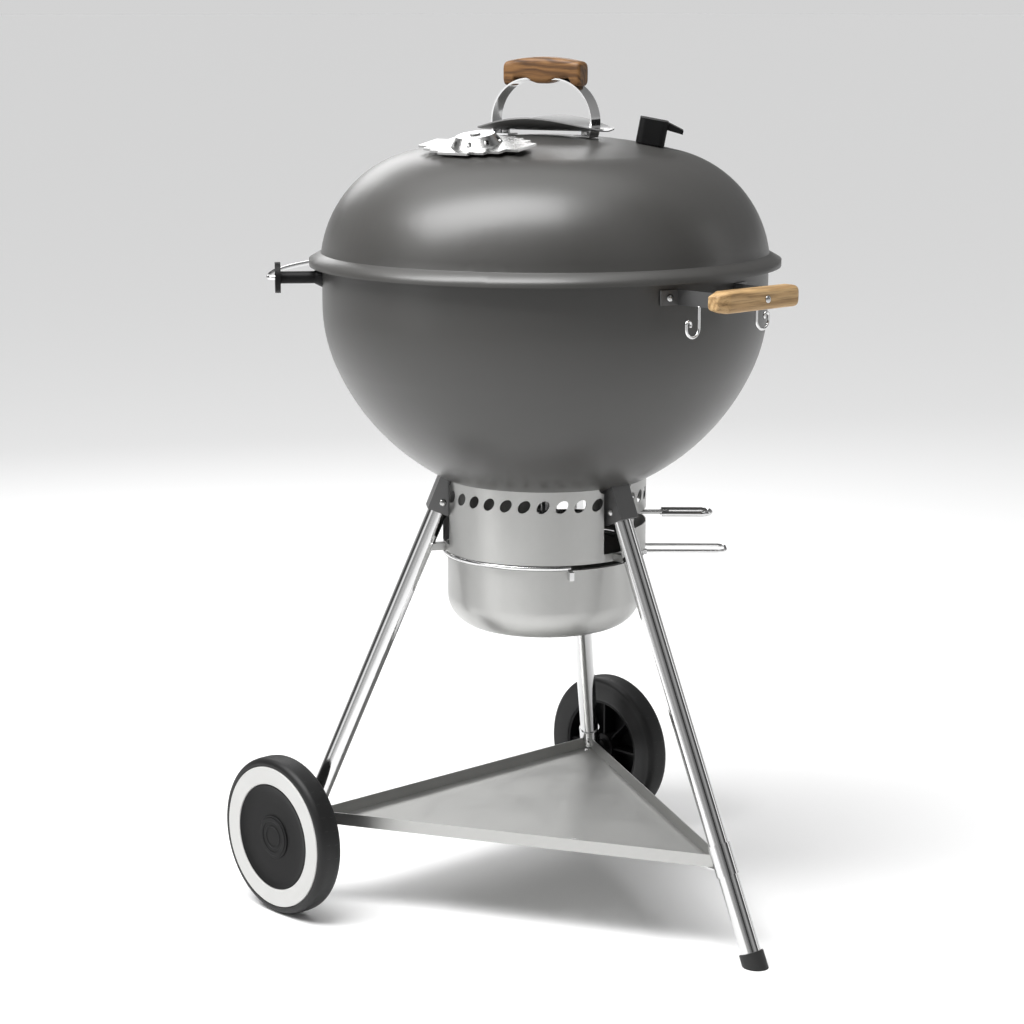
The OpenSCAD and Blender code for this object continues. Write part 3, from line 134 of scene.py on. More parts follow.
def worn(mat, shader, colour, rough, metal=0.0, smudge=0.06, smudge_size=9.0, grain=900.0,
         depth=0.1, tint=0.04):
    """Gives a shader its colour and roughness, varied a little. Returns the coordinate node."""
    tree = mat.node_tree
    coord = put(tree, "ShaderNodeTexCoord")
    wear = put(tree, "ShaderNodeGroup", node_tree=WEAR)
    tree.links.new(coord.outputs["Object"], wear.inputs["Vector"])
    wear.inputs["Smudge size"].default_value = smudge_size
    wear.inputs["Grain size"].default_value = grain
    wear.inputs["Grain depth"].default_value = depth
    shift = put(tree, "ShaderNodeMix", data_type="RGBA", blend_type="MIX")
    tree.links.new(wear.outputs["Smudge"], shift.inputs["Factor"])
    shift.inputs[6].default_value = (*[c * (1 - tint) for c in colour], 1)
    shift.inputs[7].default_value = (*[min(1, c * (1 + tint)) for c in colour], 1)
    tree.links.new(shift.outputs[2], shader.inputs["Base Color"])
    vary = math_node(tree, "MULTIPLY", wear.outputs["Smudge"], smudge)
    level = math_node(tree, "ADD", vary, rough - smudge / 2)
    tree.links.new(level, shader.inputs["Roughness"])
    shader.inputs["Metallic"].default_value = metal
    tree.links.new(wear.outputs["Normal"], shader.inputs["Normal"])
    return coord


def plain(name, colour, rough, metal=0.0, coat=0.0, coat_rough=0.1, specular=0.5, **wear):
    mat, shader = new_material(name)
    worn(mat, shader, colour, rough, metal, **wear)
    shader.inputs["Specular IOR Level"].default_value = specular
    shader.inputs["Coat Weight"].default_value = coat
    shader.inputs["Coat Roughness"].default_value = coat_rough
    return mat


# How close the brush lines lie, and how quickly they change along their run
BRUSH_FINE, BRUSH_RUN_ROUND, BRUSH_RUN_STRAIGHT = 90.0, 0.4, 2.0


def brushed(name, colour, rough, around):
    """Metal with fine brush lines, round the Z axis or along X."""
    mat, shader = new_material(name)
    coord = worn(mat, shader, colour, rough, 1.0, smudge=0.1, smudge_size=14.0)
    tree = mat.node_tree
    apart = put(tree, "ShaderNodeSeparateXYZ", Vector=coord.outputs["Object"])
    if around:
        # Lines of equal height and of equal distance from the axis
        square = math_node(tree, "ADD",
                           math_node(tree, "MULTIPLY", apart.outputs[0], apart.outputs[0]),
                           math_node(tree, "MULTIPLY", apart.outputs[1], apart.outputs[1]))
        far = math_node(tree, "SQRT", square)
        turn = math_node(tree, "ARCTAN2", apart.outputs[1], apart.outputs[0])
        place = put(tree, "ShaderNodeCombineXYZ",
                    X=math_node(tree, "MULTIPLY", turn, BRUSH_RUN_ROUND),
                    Y=math_node(tree, "MULTIPLY", far, BRUSH_FINE),
                    Z=math_node(tree, "MULTIPLY", apart.outputs[2], BRUSH_FINE))
    else:
        place = put(tree, "ShaderNodeCombineXYZ",
                    X=math_node(tree, "MULTIPLY", apart.outputs[0], BRUSH_RUN_STRAIGHT),
                    Y=math_node(tree, "MULTIPLY", apart.outputs[1], BRUSH_FINE),
                    Z=math_node(tree, "MULTIPLY", apart.outputs[2], BRUSH_FINE))
    lines = put(tree, "ShaderNodeTexNoise", Vector=place.outputs[0], Scale=14.0, Detail=6.0,
                Roughness=0.75)
    bump = put(tree, "ShaderNodeBump", Strength=0.16, Distance=0.0006,
               Height=lines.outputs["Fac"])
    tree.links.new(bump.outputs["Normal"], shader.inputs["Normal"])
    if around:
        # Highlights spread across the brush lines
        tangent = put(tree, "ShaderNodeTangent", direction_type="RADIAL", axis="Z")
        tree.links.new(tangent.outputs[0], shader.inputs["Tangent"])
        shader.inputs["Anisotropic"].default_value = 0.8
        shader.inputs["Anisotropic Rotation"].default_value = 0.25
    return mat


# How the wood's rings, streaks and pores are scaled along the grain and across it
RING_SCALE = (9.0, 46.0, 46.0)
STREAK_SCALE = (7.0, 210.0, 210.0)
PORE_SCALE = (35.0, 900.0, 900.0)


def wood(name, dark, mid, light, swirl, figure, centre, turn):
    """Oiled wood, its grain along X about centre after a turn. Figure sets how much rings show."""
    mat, shader = new_material(name)
    tree = mat.node_tree
    coord = put(tree, "ShaderNodeTexCoord")
    place = put(tree, "ShaderNodeMapping", vector_type="TEXTURE", Vector=coord.outputs["Object"])
    place.inputs["Location"].default_value = centre
    place.inputs["Rotation"].default_value = (0, 0, turn)
    flow = put(tree, "ShaderNodeMapping", Vector=place.outputs[0])
    flow.inputs["Scale"].default_value = RING_SCALE
    warp = put(tree, "ShaderNodeTexNoise", Vector=flow.outputs[0], Scale=0.8, Detail=2.0)
    bend = put(tree, "ShaderNodeVectorMath", operation="MULTIPLY_ADD", i0=warp.outputs["Color"],
               i1=(swirl, swirl, swirl), i2=flow.outputs[0])
    rings = put(tree, "ShaderNodeTexWave", wave_type="RINGS", rings_direction="X",
                Vector=bend.outputs[0], Scale=1.0, Distortion=3.0, Detail=3.0)
    rings.inputs["Detail Scale"].default_value = 1.4
    long = put(tree, "ShaderNodeMapping", Vector=place.outputs[0])
    long.inputs["Scale"].default_value = STREAK_SCALE
    streak = put(tree, "ShaderNodeTexNoise", Vector=long.outputs[0], Scale=1.0, Detail=4.0,
                 Roughness=0.6)
    ring_part = math_node(tree, "MULTIPLY", rings.outputs["Fac"], figure)
    streak_part = math_node(tree, "MULTIPLY", streak.outputs["Fac"], 1 - figure)
    ramp = put(tree, "ShaderNodeValToRGB", Fac=math_node(tree, "ADD", ring_part, streak_part))
    ramp.color_ramp.elements[0].position = 0.2
    ramp.color_ramp.elements[0].color = (*dark, 1)
    ramp.color_ramp.elements[1].position = 0.85
    ramp.color_ramp.elements[1].color = (*light, 1)
    middle = ramp.color_ramp.elements.new(0.5)
    middle.color = (*mid, 1)
    thin = put(tree, "ShaderNodeMapping", Vector=place.outputs[0])
    thin.inputs["Scale"].default_value = PORE_SCALE
    pores = put(tree, "ShaderNodeTexNoise", Vector=thin.outputs[0], Scale=1.0, Detail=3.0)
    depth = put(tree, "ShaderNodeMapRange", Value=pores.outputs["Fac"])
    depth.inputs["From Min"].default_value = 0.5
    depth.inputs["From Max"].default_value = 0.62
    depth.inputs["To Min"].default_value = 1.0
    depth.inputs["To Max"].default_value = 0.72
    shade = put(tree, "ShaderNodeMix", data_type="RGBA", blend_type="MULTIPLY")
    shade.inputs["Factor"].default_value = 1.0
    tree.links.new(ramp.outputs["Color"], shade.inputs[6])
    tree.links.new(depth.outputs["Result"], shade.inputs[7])
    tree.links.new(shade.outputs[2], shader.inputs["Base Color"])
    bump = put(tree, "ShaderNodeBump", Strength=0.25, Distance=0.0003,
               Height=depth.outputs["Result"])
    tree.links.new(bump.outputs["Normal"], shader.inputs["Normal"])
    shader.inputs["Roughness"].default_value = 0.48
    shader.inputs["Specular IOR Level"].default_value = 0.25
    shader.inputs["Coat Weight"].default_value = 0.08
    shader.inputs["Coat Roughness"].default_value = 0.3
    return mat


# Where each grip's grain is centred, in metres, and how the lid's grip is turned
GRIP_MID = (0, 0, GRIP_Z * MM)
BAR_MID = (0, BAR_Y * MM, BAR_Z * MM)
GRIP_GRAIN_TURN = math.radians(LID_TURN - 90)
DEEP_BLACK = (0.004, 0.004, 0.0042)
MATERIALS = {
    "enamel": plain("enamel", (0.041, 0.040, 0.038), 0.37, coat=0.2, coat_rough=0.28,
                    specular=0.42, smudge=0.05, smudge_size=5.0, grain=1400.0, depth=0.10,
                    tint=0.02),
    "brushed_aluminium": brushed("brushed aluminium", (0.44, 0.44, 0.43), 0.36, around=True),
    "tray_steel": brushed("tray steel", (0.44, 0.44, 0.43), 0.40, around=False),
    "chrome": plain("chrome", (0.66, 0.66, 0.66), 0.11, 1.0, smudge=0.06, depth=0.02),
    "plated_steel": plain("plated steel", (0.46, 0.46, 0.455), 0.26, 1.0, smudge=0.12),
    "satin_steel": plain("satin steel", (0.12, 0.12, 0.12), 0.38, 0.7, smudge=0.08),
    "shield_steel": plain("shield steel", (0.40, 0.40, 0.40), 0.36, 0.9, smudge=0.08),
    "rubber": plain("rubber", (0.010, 0.010, 0.010), 0.6, grain=1500.0, depth=0.2),
    "tyre": plain("tyre", DEEP_BLACK, 0.5, grain=1100.0, depth=0.2, tint=0.15,
                  specular=0.35),
    "whitewall": plain("whitewall", (0.50, 0.50, 0.49), 0.5, depth=0.05),
    "black_plastic": plain("black plastic", DEEP_BLACK, 0.5, grain=2200.0, depth=0.22,
                           specular=0.15),
    "lid_wood": wood("lid wood", (0.050, 0.023, 0.008), (0.125, 0.058, 0.019),
                     (0.205, 0.104, 0.037), swirl=1.7, figure=0.42, centre=GRIP_MID,
                     turn=GRIP_GRAIN_TURN),
    "bar_wood": wood("bar wood", (0.175, 0.100, 0.042), (0.400, 0.255, 0.118),
                     (0.520, 0.360, 0.185), swirl=0.7, figure=0.25, centre=BAR_MID, turn=0.0),
    "dial": plain("dial", (0.75, 0.75, 0.7), 0.4),
    "pointer": plain("pointer", (0.55, 0.02, 0.015), 0.35),
}


def make_glass():
    mat, shader = new_material("lens")
    shader.inputs["Base Color"].default_value = (0.95, 0.97, 1, 1)
    shader.inputs["Roughness"].default_value = 0.03
    shader.inputs["Transmission Weight"].default_value = 1.0
    shader.inputs["IOR"].default_value = 1.45
    return mat


MATERIALS["lens"] = make_glass()

# ---------------------------------------------------------------- mesh helpers
SLOT_OF = {s["node"]: s["material_slot"] for s in frame["record"]["subparts"]}
BODY_OF = {n: body for body, members in frame["record"]["behaviour"]["bodies"].items()
           for n in members}


def finish_mesh(name, mesh_bm, material, body, nodes=(), sharp=SHARP):
    """Turns a bmesh into a piece that rides on a body and stands for CAD nodes."""
    bmesh.ops.recalc_face_normals(mesh_bm, faces=mesh_bm.faces)
    for face in mesh_bm.faces:
        face.smooth = True
    for edge in mesh_bm.edges:
        edge.smooth = len(edge.link_faces) == 2 and edge.calc_face_angle(0) < math.radians(sharp)
    mesh = bpy.data.meshes.new(name)
    mesh_bm.to_mesh(mesh)
    mesh_bm.free()
    obj = bpy.data.objects.new(name, mesh)
    bpy.context.scene.collection.objects.link(obj)
    mesh.materials.append(MATERIALS[material])
    even = obj.modifiers.new("even shading", "WEIGHTED_NORMAL")
    even.keep_sharp = True
    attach(obj, body)
    if nodes:
        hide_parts(*nodes)


# Metres within which points are welded, the shortest edge kept, and degrees that count as flat
WELD, SHORTEST, FLAT = 2e-6, 1e-6, 0.4


def refined(node, material, bevel, sharp):
    """A welded copy of a CAD node, its edges rounded by bevel mm when that isn't 0."""
    made = bmesh.new()
    made.from_mesh(frame["nodes"][node].data)
    bmesh.ops.remove_doubles(made, verts=made.verts, dist=WELD)
    bmesh.ops.dissolve_degenerate(made, dist=SHORTEST, edges=made.edges)
    bmesh.ops.dissolve_limit(made, angle_limit=math.radians(FLAT), verts=made.verts,
                             edges=made.edges)
    if bevel:
        edges = [e for e in made.edges
                 if len(e.link_faces) == 2 and e.calc_face_angle(0) > math.radians(sharp)]
        bmesh.ops.bevel(made, geom=edges, offset=bevel * MM, segments=2, profile=0.6,
                        affect="EDGES", clamp_overlap=True)
    finish_mesh(node + "_refined", made, material, BODY_OF[node], [node], sharp)


def ring_of(made, matrix, r, z, segments):
    """A ring of points round Z at height z, both in mm, placed by the matrix."""
    return [made.verts.new(matrix @ Vector((r * MM * math.cos(t), r * MM * math.sin(t), z * MM)))
            for t in (2 * math.pi * k / segments for k in range(segments))]


def lathe(made, profile, segments, matrix, closed=True):
    """Turns (distance, height) points in mm about Z. Closed joins the last point to the first."""
    rings = []
    for r, z in profile:
        if abs(r) < 1e-6:
            rings.append([made.verts.new(matrix @ Vector((0, 0, z * MM)))])
            continue
        rings.append(ring_of(made, matrix, r, z, segments))
    count = len(rings)
    for i in range(count if closed else count - 1):
        low, high = rings[i], rings[(i + 1) % count]
        for k in range(segments):
            a, b = low[k % len(low)], low[(k + 1) % len(low)]
            c, d = high[(k + 1) % len(high)], high[k % len(high)]
            corners = []
            for v in (a, b, c, d):
                if v not in corners:
                    corners.append(v)
            if len(corners) > 2:
                made.faces.new(corners)


def bridge(made, rings):
    """Joins closed rings of equal length with quads and caps both ends."""
    for low, high in zip(rings, rings[1:]):
        for k in range(len(low)):
            n = (k + 1) % len(low)
            made.faces.new((low[k], low[n], high[n], high[k]))
    made.faces.new(rings[0])
    made.faces.new(rings[-1])


def loft(made, sections):
    """A solid through closed sections, lists of points in mm of equal length."""
    bridge(made, [[made.verts.new(Vector(p) * MM) for p in section] for section in sections])


# Degrees from the end section at which the rings of a round wire end lie
CAP_ANGLES = (28, 55, 80)


def tube(made, points, d, sides=14):
    """A round wire of diameter d through points in mm, with round ends."""
    path = [Vector(p) for p in points]
    side = None
    sections = []
    for i, p in enumerate(path):
        before, after = path[max(i - 1, 0)], path[min(i + 1, len(path) - 1)]
        way = (after - before).normalized()
        if side is None:
            side = way.orthogonal().normalized()
        side = (side - way * side.dot(way)).normalized()
        sections.append((p, way, side.copy(), way.cross(side)))
    r = d / 2
    rings = []
    p, way, u, v = sections[0]
    for a in reversed(CAP_ANGLES):
        rings.append((p - way * r * math.sin(math.radians(a)), u, v,
                      r * math.cos(math.radians(a))))
    rings += [(p, u, v, r) for p, way, u, v in sections]
    p, way, u, v = sections[-1]
    for a in CAP_ANGLES:
        rings.append((p + way * r * math.sin(math.radians(a)), u, v,
                      r * math.cos(math.radians(a))))
    made_rings = [[made.verts.new((p + (u * math.cos(t) + v * math.sin(t)) * q) * MM)
                   for t in (2 * math.pi * k / sides for k in range(sides))]
                  for p, u, v, q in rings]
    bridge(made, made_rings)


def arc(centre, r, start, end, steps, across):
    """Points on an arc in the plane of across and Z, angles in degrees."""
    centre, across, up = Vector(centre), Vector(across), Vector((0, 0, 1))
    return [centre + across * r * math.cos(math.radians(t)) + up * r * math.sin(math.radians(t))
            for t in (start + (end - start) * k / steps for k in range(steps + 1))]


SECTION_POINTS = 40


def super_section(x, half_w, low, high, power):
    """A rounded rectangle across X. A higher power has squarer corners."""
    mid, half_h = (low + high) / 2, (high - low) / 2
    points = []
    for k in range(SECTION_POINTS):
        t = 2 * math.pi * (k + 0.5) / SECTION_POINTS
        c, s = math.cos(t), math.sin(t)
        points.append((x, half_w * math.copysign(abs(c) ** (2 / power), c),
                       mid + half_h * math.copysign(abs(s) ** (2 / power), s)))
    return points


def smooth_step(x, low, high):
    t = max(0.0, min(1.0, (x - low) / (high - low)))
    return t * t * (3 - 2 * t)


def turned(made, degrees, move=(0, 0, 0)):
    """Turns a bmesh about Z and then moves it by mm."""
    made.transform(Matrix.Translation(Vector(move) * MM)
                   @ Matrix.Rotation(math.radians(degrees), 4, "Z"))


def box_mm(node):
    """The low and high corner of a CAD node in mm."""
    low_corner, high_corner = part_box(node)
    return low_corner / MM, high_corner / MM


# The CAD nodes that already have a piece of their own
done = set()


def custom(name, made, node, sharp=SHARP):
    """A piece drawn here that stands for one CAD node."""
    done.add(node)
    finish_mesh(name, made, SLOT_OF[node], BODY_OF[node], [node], sharp)


# ---------------------------------------------------------------- wooden grips
def make_lid_grip():
    low_corner, high_corner = box_mm("lid_grip")
    bottom, top = low_corner.z, high_corner.z
    half, half_w, end_r = 55.0, 13.4, 5.0
    end_fall = 6.5  # how far the top falls towards the ends
    # Between its feet the underside is foot_rise higher, and belly_rise more off the middle
    belly_rise, foot_rise = 6.0, 3.0
    slim = 0.7  # how much narrower each side is at the ends than the half width
    rise_start, rise_end, foot_in, foot_out = 4, 30, 38, 44  # distances from the middle
    rounding = 0.8  # the share of the ends' inset that the sides, top and underside take
    squareness = 4.6
    sections = []
    steps = 64
    for k in range(steps + 1):
        # Sections crowd towards both ends
        u = -math.cos(math.pi * k / steps)
        x = u * half
        over = max(0.0, abs(x) - (half - end_r))
        inset = end_r - math.sqrt(max(0.0, end_r ** 2 - over ** 2))
        crown = end_fall * (x / half) ** 2
        # The strap enters beside a foot at each end, and the middle hangs a little
        inside_feet = 1 - smooth_step(abs(x), foot_in, foot_out)
        recess = belly_rise * smooth_step(abs(x), rise_start, rise_end) * inside_feet
        recess += foot_rise * inside_feet
        fullness = 1.2 * (1 - smooth_step(abs(x), 10, 48))
        sections.append(super_section(
            x, half_w - inset * rounding - slim + slim * fullness,
            bottom + recess + inset * rounding, top - crown - inset * rounding, squareness))
    made = bmesh.new()
    loft(made, sections)
    turned(made, LID_TURN - 90)
    custom("lid_grip_wood", made, "lid_grip", sharp=50)


def make_carry_bar():
    low_corner, high_corner = box_mm("carry_bar")
    half = (high_corner.x - low_corner.x) / 2
    half_w = (high_corner.y - low_corner.y) / 2
    bottom, top = low_corner.z, high_corner.z
    chamfer_l, chamfer_depth = 16, 5.0
    end_r = 9
    nip_l = 1.5  # the small break of the chamfered end's last edge
    rounding = 0.9  # the share of the round end's and of the whole inset that is taken
    squareness = 4.2
    sections = []
    steps = 60
    for k in range(steps + 1):
        x = -math.cos(math.pi * k / steps) * half
        # The left end is chamfered, the right end round
        chamfer = chamfer_depth * max(0.0, (-x - (half - chamfer_l)) / chamfer_l)
        over = max(0.0, x - (half - end_r))
        round_in = end_r - math.sqrt(max(0.0, end_r ** 2 - over ** 2))
        nip = max(0.0, (-x - (half - nip_l))) * 0.8
        inset = chamfer + round_in * rounding + nip
        sections.append(super_section(x, half_w - inset, bottom + inset * rounding,
                                      top - inset * rounding, squareness))
    made = bmesh.new()
    loft(made, sections)
    turned(made, 0, (0, (low_corner.y + high_corner.y) / 2, 0))
    custom("carry_bar_wood", made, "carry_bar", sharp=50)


make_lid_grip()
make_carry_bar()


# ---------------------------------------------------------------- wheels
# The tyre's shoulders are arcs of SHOULDER_R about points SHOULDER_MID_R from the axle and
# SHOULDER_IN from the tyre's faces. The flat tread starts TREAD_IN from the faces.
SHOULDER_MID_R, SHOULDER_R, SHOULDER_IN = 94, 8.6, 9
TREAD_IN = 12.5
SCORES, SCORE_D, SCORE_SKEW = 36, 1.1, 0.02
HUB_RIBS = 8


def on_axle(side, start):
    """Places a wheel drawn on Z, outer face upwards, on the axle."""
    turn = Matrix.Rotation(math.radians(90 * side), 4, "Y")
    return Matrix.Translation((start * side * MM, WHEEL_Y * MM, WHEEL_Z * MM)) @ turn


def make_wheel(side):
    suffix = "right" if side > 0 else "left"
    low_corner, high_corner = box_mm("tyre_" + suffix)
    inner = min(abs(low_corner.x), abs(high_corner.x))
    width = high_corner.x - low_corner.x
    place = on_axle(side, inner)
    make_tyre(suffix, width, place)
    make_whitewall(suffix, width, place)
    make_hub(suffix, width, place)


def make_tyre(suffix, width, place):
    made = bmesh.new()
    # From the inner face over the tread to the seat of the pale ring
    profile = [(HUB_R, 1.5), (HUB_R + 4, 0.4), (WHITEWALL_R - 5, 0.0), (WHITEWALL_R - 3, 0.8)]
    profile += [(SHOULDER_MID_R + SHOULDER_R * math.sin(math.radians(t)),
                 SHOULDER_IN - SHOULDER_R * math.cos(math.radians(t)))
                for t in range(10, 91, 10)]
    profile += [(WHEEL_R, TREAD_IN), (WHEEL_R, width - TREAD_IN)]
    profile += [(SHOULDER_MID_R + SHOULDER_R * math.cos(math.radians(t)),
                 width - SHOULDER_IN + SHOULDER_R * math.sin(math.radians(t)))
                for t in range(0, 81, 10)]
    profile += [(WHITEWALL_R + 0.9, width - 0.6), (WHITEWALL_R + 0.4, width - 2.4),
                (HUB_R, width - 2.4)]
    lathe(made, profile, 180, place)
    custom("tyre_body_" + suffix, made, "tyre_" + suffix, sharp=40)
    # Shallow cross scores on the tread
    scores = bmesh.new()
    run = ((99.6, 4.6), (102.0, 8.0), (WHEEL_R - 0.35, 13.0))
    for k in range(SCORES):
        t = 2 * math.pi * (k + 0.5) / SCORES
        skewed = t + SCORE_SKEW
        inner_score = [(r * math.cos(t), r * math.sin(t), z) for r, z in run]
        outer_score = [(r * math.cos(skewed), r * math.sin(skewed), width - z)
                       for r, z in reversed(run)]
        tube(scores, inner_score, SCORE_D, 6)
        tube(scores, outer_score, SCORE_D, 6)
    scores.transform(place)
    finish_mesh("tyre_scores_" + suffix, scores, "rubber", "wheel_" + suffix)


def make_whitewall(suffix, width, place):
    made = bmesh.new()
    face = width + 0.2  # a little proud of the tyre
    profile = [(HUB_R + 0.3, face - 2.4), (WHITEWALL_R, face - 2.4), (WHITEWALL_R, face - 0.8),
               (WHITEWALL_R - 0.8, face), (HUB_R + 1.2, face), (HUB_R + 0.3, face - 0.9)]
    lathe(made, profile, 180, place)
    custom("whitewall_ring_" + suffix, made, "whitewall_" + suffix)


def make_hub(suffix, width, place):
    """The hub's dished disc with ribs on its back, and the cap over its middle."""
    made = bmesh.new()
    face = width - 3.0  # the disc lies back from the tyre
    # From the bore over the boss, the back and the rim to the dished face and its opening
    dish = [(5.1, 24.5), (5.1, -0.9), (11, -0.9), (11, 5), (19, 5), (19, face - 4),
            (HUB_R - 4, face - 4), (HUB_R - 4, 2.5), (HUB_R - 0.2, 2.0), (HUB_R - 0.2, width - 1.0),
            (HUB_R - 0.9, width - 0.3), (HUB_R - 2.2, width - 0.4), (HUB_R - 6, width - 1.6),
            (HUB_R - 12, face + 0.3), (HUB_R - 24, face), (16, face), (16, 9), (11, 9), (11, 24.5)]
    lathe(made, dish, 160, place)
    rib_shape = Matrix.Diagonal((47 * MM, 3 * MM, 21 * MM, 1))
    rib_place = Matrix.Translation((42 * MM, 0, 18.2 * MM))
    for k in range(HUB_RIBS):
        rib = bmesh.ops.create_cube(made, size=1.0)["verts"]
        move = Matrix.Rotation(2 * math.pi * k / HUB_RIBS, 4, "Z") @ rib_place
        bmesh.ops.transform(made, matrix=place @ move @ rib_shape, verts=rib)
    custom("hub_disc_" + suffix, made, "wheel_hub_" + suffix, sharp=28)

    made = bmesh.new()
    # From the middle outwards over two raised rings
    cap = [(0, face + 1.6), (12, face + 1.6), (12.8, face + 2.2), (14.6, face + 2.2),
           (15.4, face + 1.6), (19.6, face + 1.6), (20.6, face + 2.4), (24.8, face + 2.4),
           (25.8, face + 1.6), (27.8, face + 1.5), (28.5, face + 0.8), (28.5, face), (0, face)]
    lathe(made, cap, 120, place, closed=False)
    custom("hub_cap_disc_" + suffix, made, "hub_cap_" + suffix, sharp=30)


make_wheel(-1)
make_wheel(1)


# ---------------------------------------------------------------- tool hooks
def make_hooks():
    low_corner, high_corner = box_mm("tool_hooks")
    y = (low_corner.y + high_corner.y) / 2
    top, bottom = high_corner.z, low_corner.z
    wire, bend_r, curl_r = 3.6, 10.8, 3.8
    room = 0.2  # kept inside the box of the CAD hooks
    made = bmesh.new()
    for side in (-1, 1):
        outward = (side, 0, 0)
        inner = side * (high_corner.x - 2 * bend_r - wire / 2 - room)
        middle = inner + side * bend_r
        low_z = bottom + wire / 2 + bend_r + room
        curl_z = low_z + 5
        points = [(inner, y, top - 0.5), (inner, y, low_z)]
        points += arc((middle, y, low_z), bend_r, 180, 360, 20, outward)[1:]
        points += [(inner + 2 * side * bend_r, y, curl_z)]
        points += arc((inner + side * (2 * bend_r - curl_r), y, curl_z), curl_r, 0, 215, 14,
                      outward)[1:]
        tube(made, points, wire)
    custom("tool_hook_wires", made, "tool_hooks", sharp=60)


make_hooks()

# ---------------------------------------------------------------- every other CAD node
# Pieces whose edges aren't rounded
SMOOTH_ONLY = ("bowl_shell", "lid_shell", "cooking_grate", "charcoal_grate", "grate_flap_left",
               "grate_flap_right", "ash_ring")
OTHER_FINISH = {"tray": "tray_steel", "vent_plate": "plated_steel", "carry_bracket": "satin_steel",
                "lid_shield": "shield_steel"}
# The lid's flange reads as one rolled rim
SOFT_EDGES = {"lid_shell": 70.0}
for cad_node in SLOT_OF:
    if cad_node not in done:
        refined(cad_node, OTHER_FINISH.get(cad_node, SLOT_OF[cad_node]),
                bevel=0.0 if cad_node in SMOOTH_ONLY else EDGE_ROUND,
                sharp=SOFT_EDGES.get(cad_node, SHARP))

# ---------------------------------------------------------------- floor, light and camera
HALF = 400.0  # half the floor's side in metres
floor_mesh = bpy.data.meshes.new("floor")
floor_mesh.from_pydata([(-HALF, -HALF, 0), (HALF, -HALF, 0), (HALF, HALF, 0), (-HALF, HALF, 0)],
                       [], [(0, 1, 2, 3)])
floor = bpy.data.objects.new("floor", floor_mesh)
bpy.context.scene.collection.objects.link(floor)
floor_mat, floor_shader = new_material("floor")
floor_shader.inputs["Base Color"].default_value = (0.94, 0.94, 0.94, 1)
floor_shader.inputs["Roughness"].default_value = 0.65
floor_mesh.materials.append(floor_mat)


def area_light(name, where, aim, size, power, right=(0.73, -0.68, 0.0)):
    """A soft box at a place in metres. Its first size lies along right, its power is in watts."""
    data = bpy.data.lights.new(name, "AREA")
    data.shape = "RECTANGLE"
    data.size, data.size_y = size
    data.energy = power
    obj = bpy.data.objects.new(name, data)
    bpy.context.scene.collection.objects.link(obj)
    back = (Vector(where) - Vector(aim)).normalized()
    side = (Vector(right) - back * back.dot(Vector(right))).normalized()
    up = back.cross(side)
    obj.matrix_world = Matrix.Translation(where) @ Matrix((side, up, back)).transposed().to_4x4()


area_light("top softbox", (-1.05, 0.0, 2.5), aim=(0.0, 0.0, 0.95), size=(2.3, 1.0), power=86)
area_light("left softbox", (-2.6, 0.9, 1.2), aim=(0.0, 0.0, 0.6), size=(0.9, 1.9), power=4,
           right=(0.2, 1.0, 0.0))
area_light("right softbox", (2.3, -1.7, 1.3), aim=(0.0, 0.0, 0.5), size=(0.6, 2.0), power=4,
           right=(0.6, 0.8, 0.0))
area_light("back softbox", (1.3, 2.4, 2.0), aim=(0.0, 0.0, 0.7), size=(2.0, 1.0), power=24)

# One very large overhead light keeps the far floor pale
ceiling_data = bpy.data.lights.new("ceiling", "SUN")
ceiling_data.energy = 1.6
ceiling_data.angle = math.radians(75)
ceiling = bpy.data.objects.new("ceiling", ceiling_data)
bpy.context.scene.collection.objects.link(ceiling)
ceiling.rotation_euler = (math.radians(-8), math.radians(-8), 0)

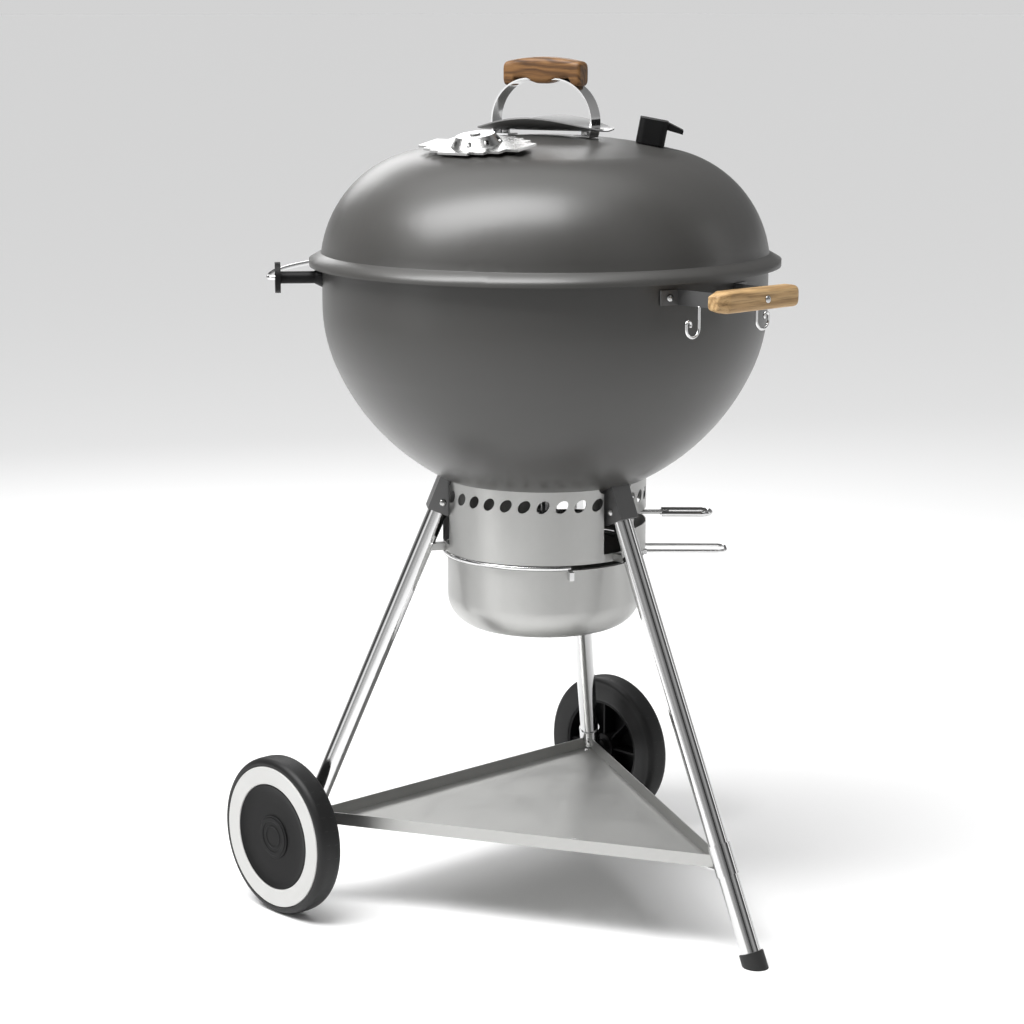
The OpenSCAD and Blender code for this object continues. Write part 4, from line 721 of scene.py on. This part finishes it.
# The room: a pale horizon and ceiling, and lighter and darker walls between them
world = bpy.data.worlds.new("studio")
bpy.context.scene.world = world
world.use_nodes = True
sky = world.node_tree
sky.nodes.clear()
direction = put(sky, "ShaderNodeTexCoord")
axis = put(sky, "ShaderNodeSeparateXYZ", Vector=direction.outputs["Generated"])
bearing = math_node(sky, "ARCTAN2", axis.outputs[1], axis.outputs[0])
round_share = math_node(sky, "ADD", math_node(sky, "DIVIDE", bearing, 2 * math.pi), 0.5)
walls = put(sky, "ShaderNodeValToRGB", Fac=round_share)
walls.color_ramp.interpolation = "EASE"
# How far round the room, and how bright the wall is there
WALL_STOPS = ((0.0, 0.75), (0.07, 0.95), (0.13, 0.45), (0.175, 0.04), (0.215, 0.45), (0.27, 0.95),
              (0.36, 0.08), (0.43, 0.8), (0.55, 0.5), (0.66, 0.08), (0.76, 0.8), (0.86, 0.08),
              (0.93, 0.85), (1.0, 0.75))
stops = walls.color_ramp.elements
for at, level in WALL_STOPS:
    if at == 0.0:
        stop = stops[0]
    elif at == 1.0:
        stop = stops[-1]
    else:
        stop = stops.new(at)
    stop.color = (level, level, level, 1)
# Above this low band the walls show, below it the pale horizon
weight = put(sky, "ShaderNodeValToRGB", Fac=axis.outputs[2])
weight.color_ramp.elements[0].position = 0.02
weight.color_ramp.elements[0].color = (0, 0, 0, 1)
weight.color_ramp.elements[1].position = 0.09
weight.color_ramp.elements[1].color = (1, 1, 1, 1)
room = put(sky, "ShaderNodeMix", data_type="RGBA", blend_type="MIX")
room.inputs[6].default_value = (1.3, 1.3, 1.3, 1)
sky.links.new(weight.outputs["Color"], room.inputs["Factor"])
sky.links.new(walls.outputs["Color"], room.inputs[7])
glow = put(sky, "ShaderNodeBackground", Color=room.outputs[2], Strength=0.5)
world_out = put(sky, "ShaderNodeOutputWorld")
sky.links.new(glow.outputs[0], world_out.inputs["Surface"])

LENS_MM, SENSOR_MM = 89.51, 36
CAMERA_PLACE = (-2.2289, -2.3323, 1.1516)
CAMERA_TILT, CAMERA_TURN = 78.804, -42.96
camera_data = bpy.data.cameras.new("camera")
camera = bpy.data.objects.new("camera", camera_data)
bpy.context.scene.collection.objects.link(camera)
camera_data.sensor_width = SENSOR_MM
camera_data.lens = LENS_MM
camera_data.clip_end = 1000
camera.location = CAMERA_PLACE
camera.rotation_euler = (math.radians(CAMERA_TILT), 0, math.radians(CAMERA_TURN))
bpy.context.scene.camera = camera

bpy.context.scene.view_settings.view_transform = "Standard"
bpy.context.scene.view_settings.look = "None"
bpy.context.view_layer.update()
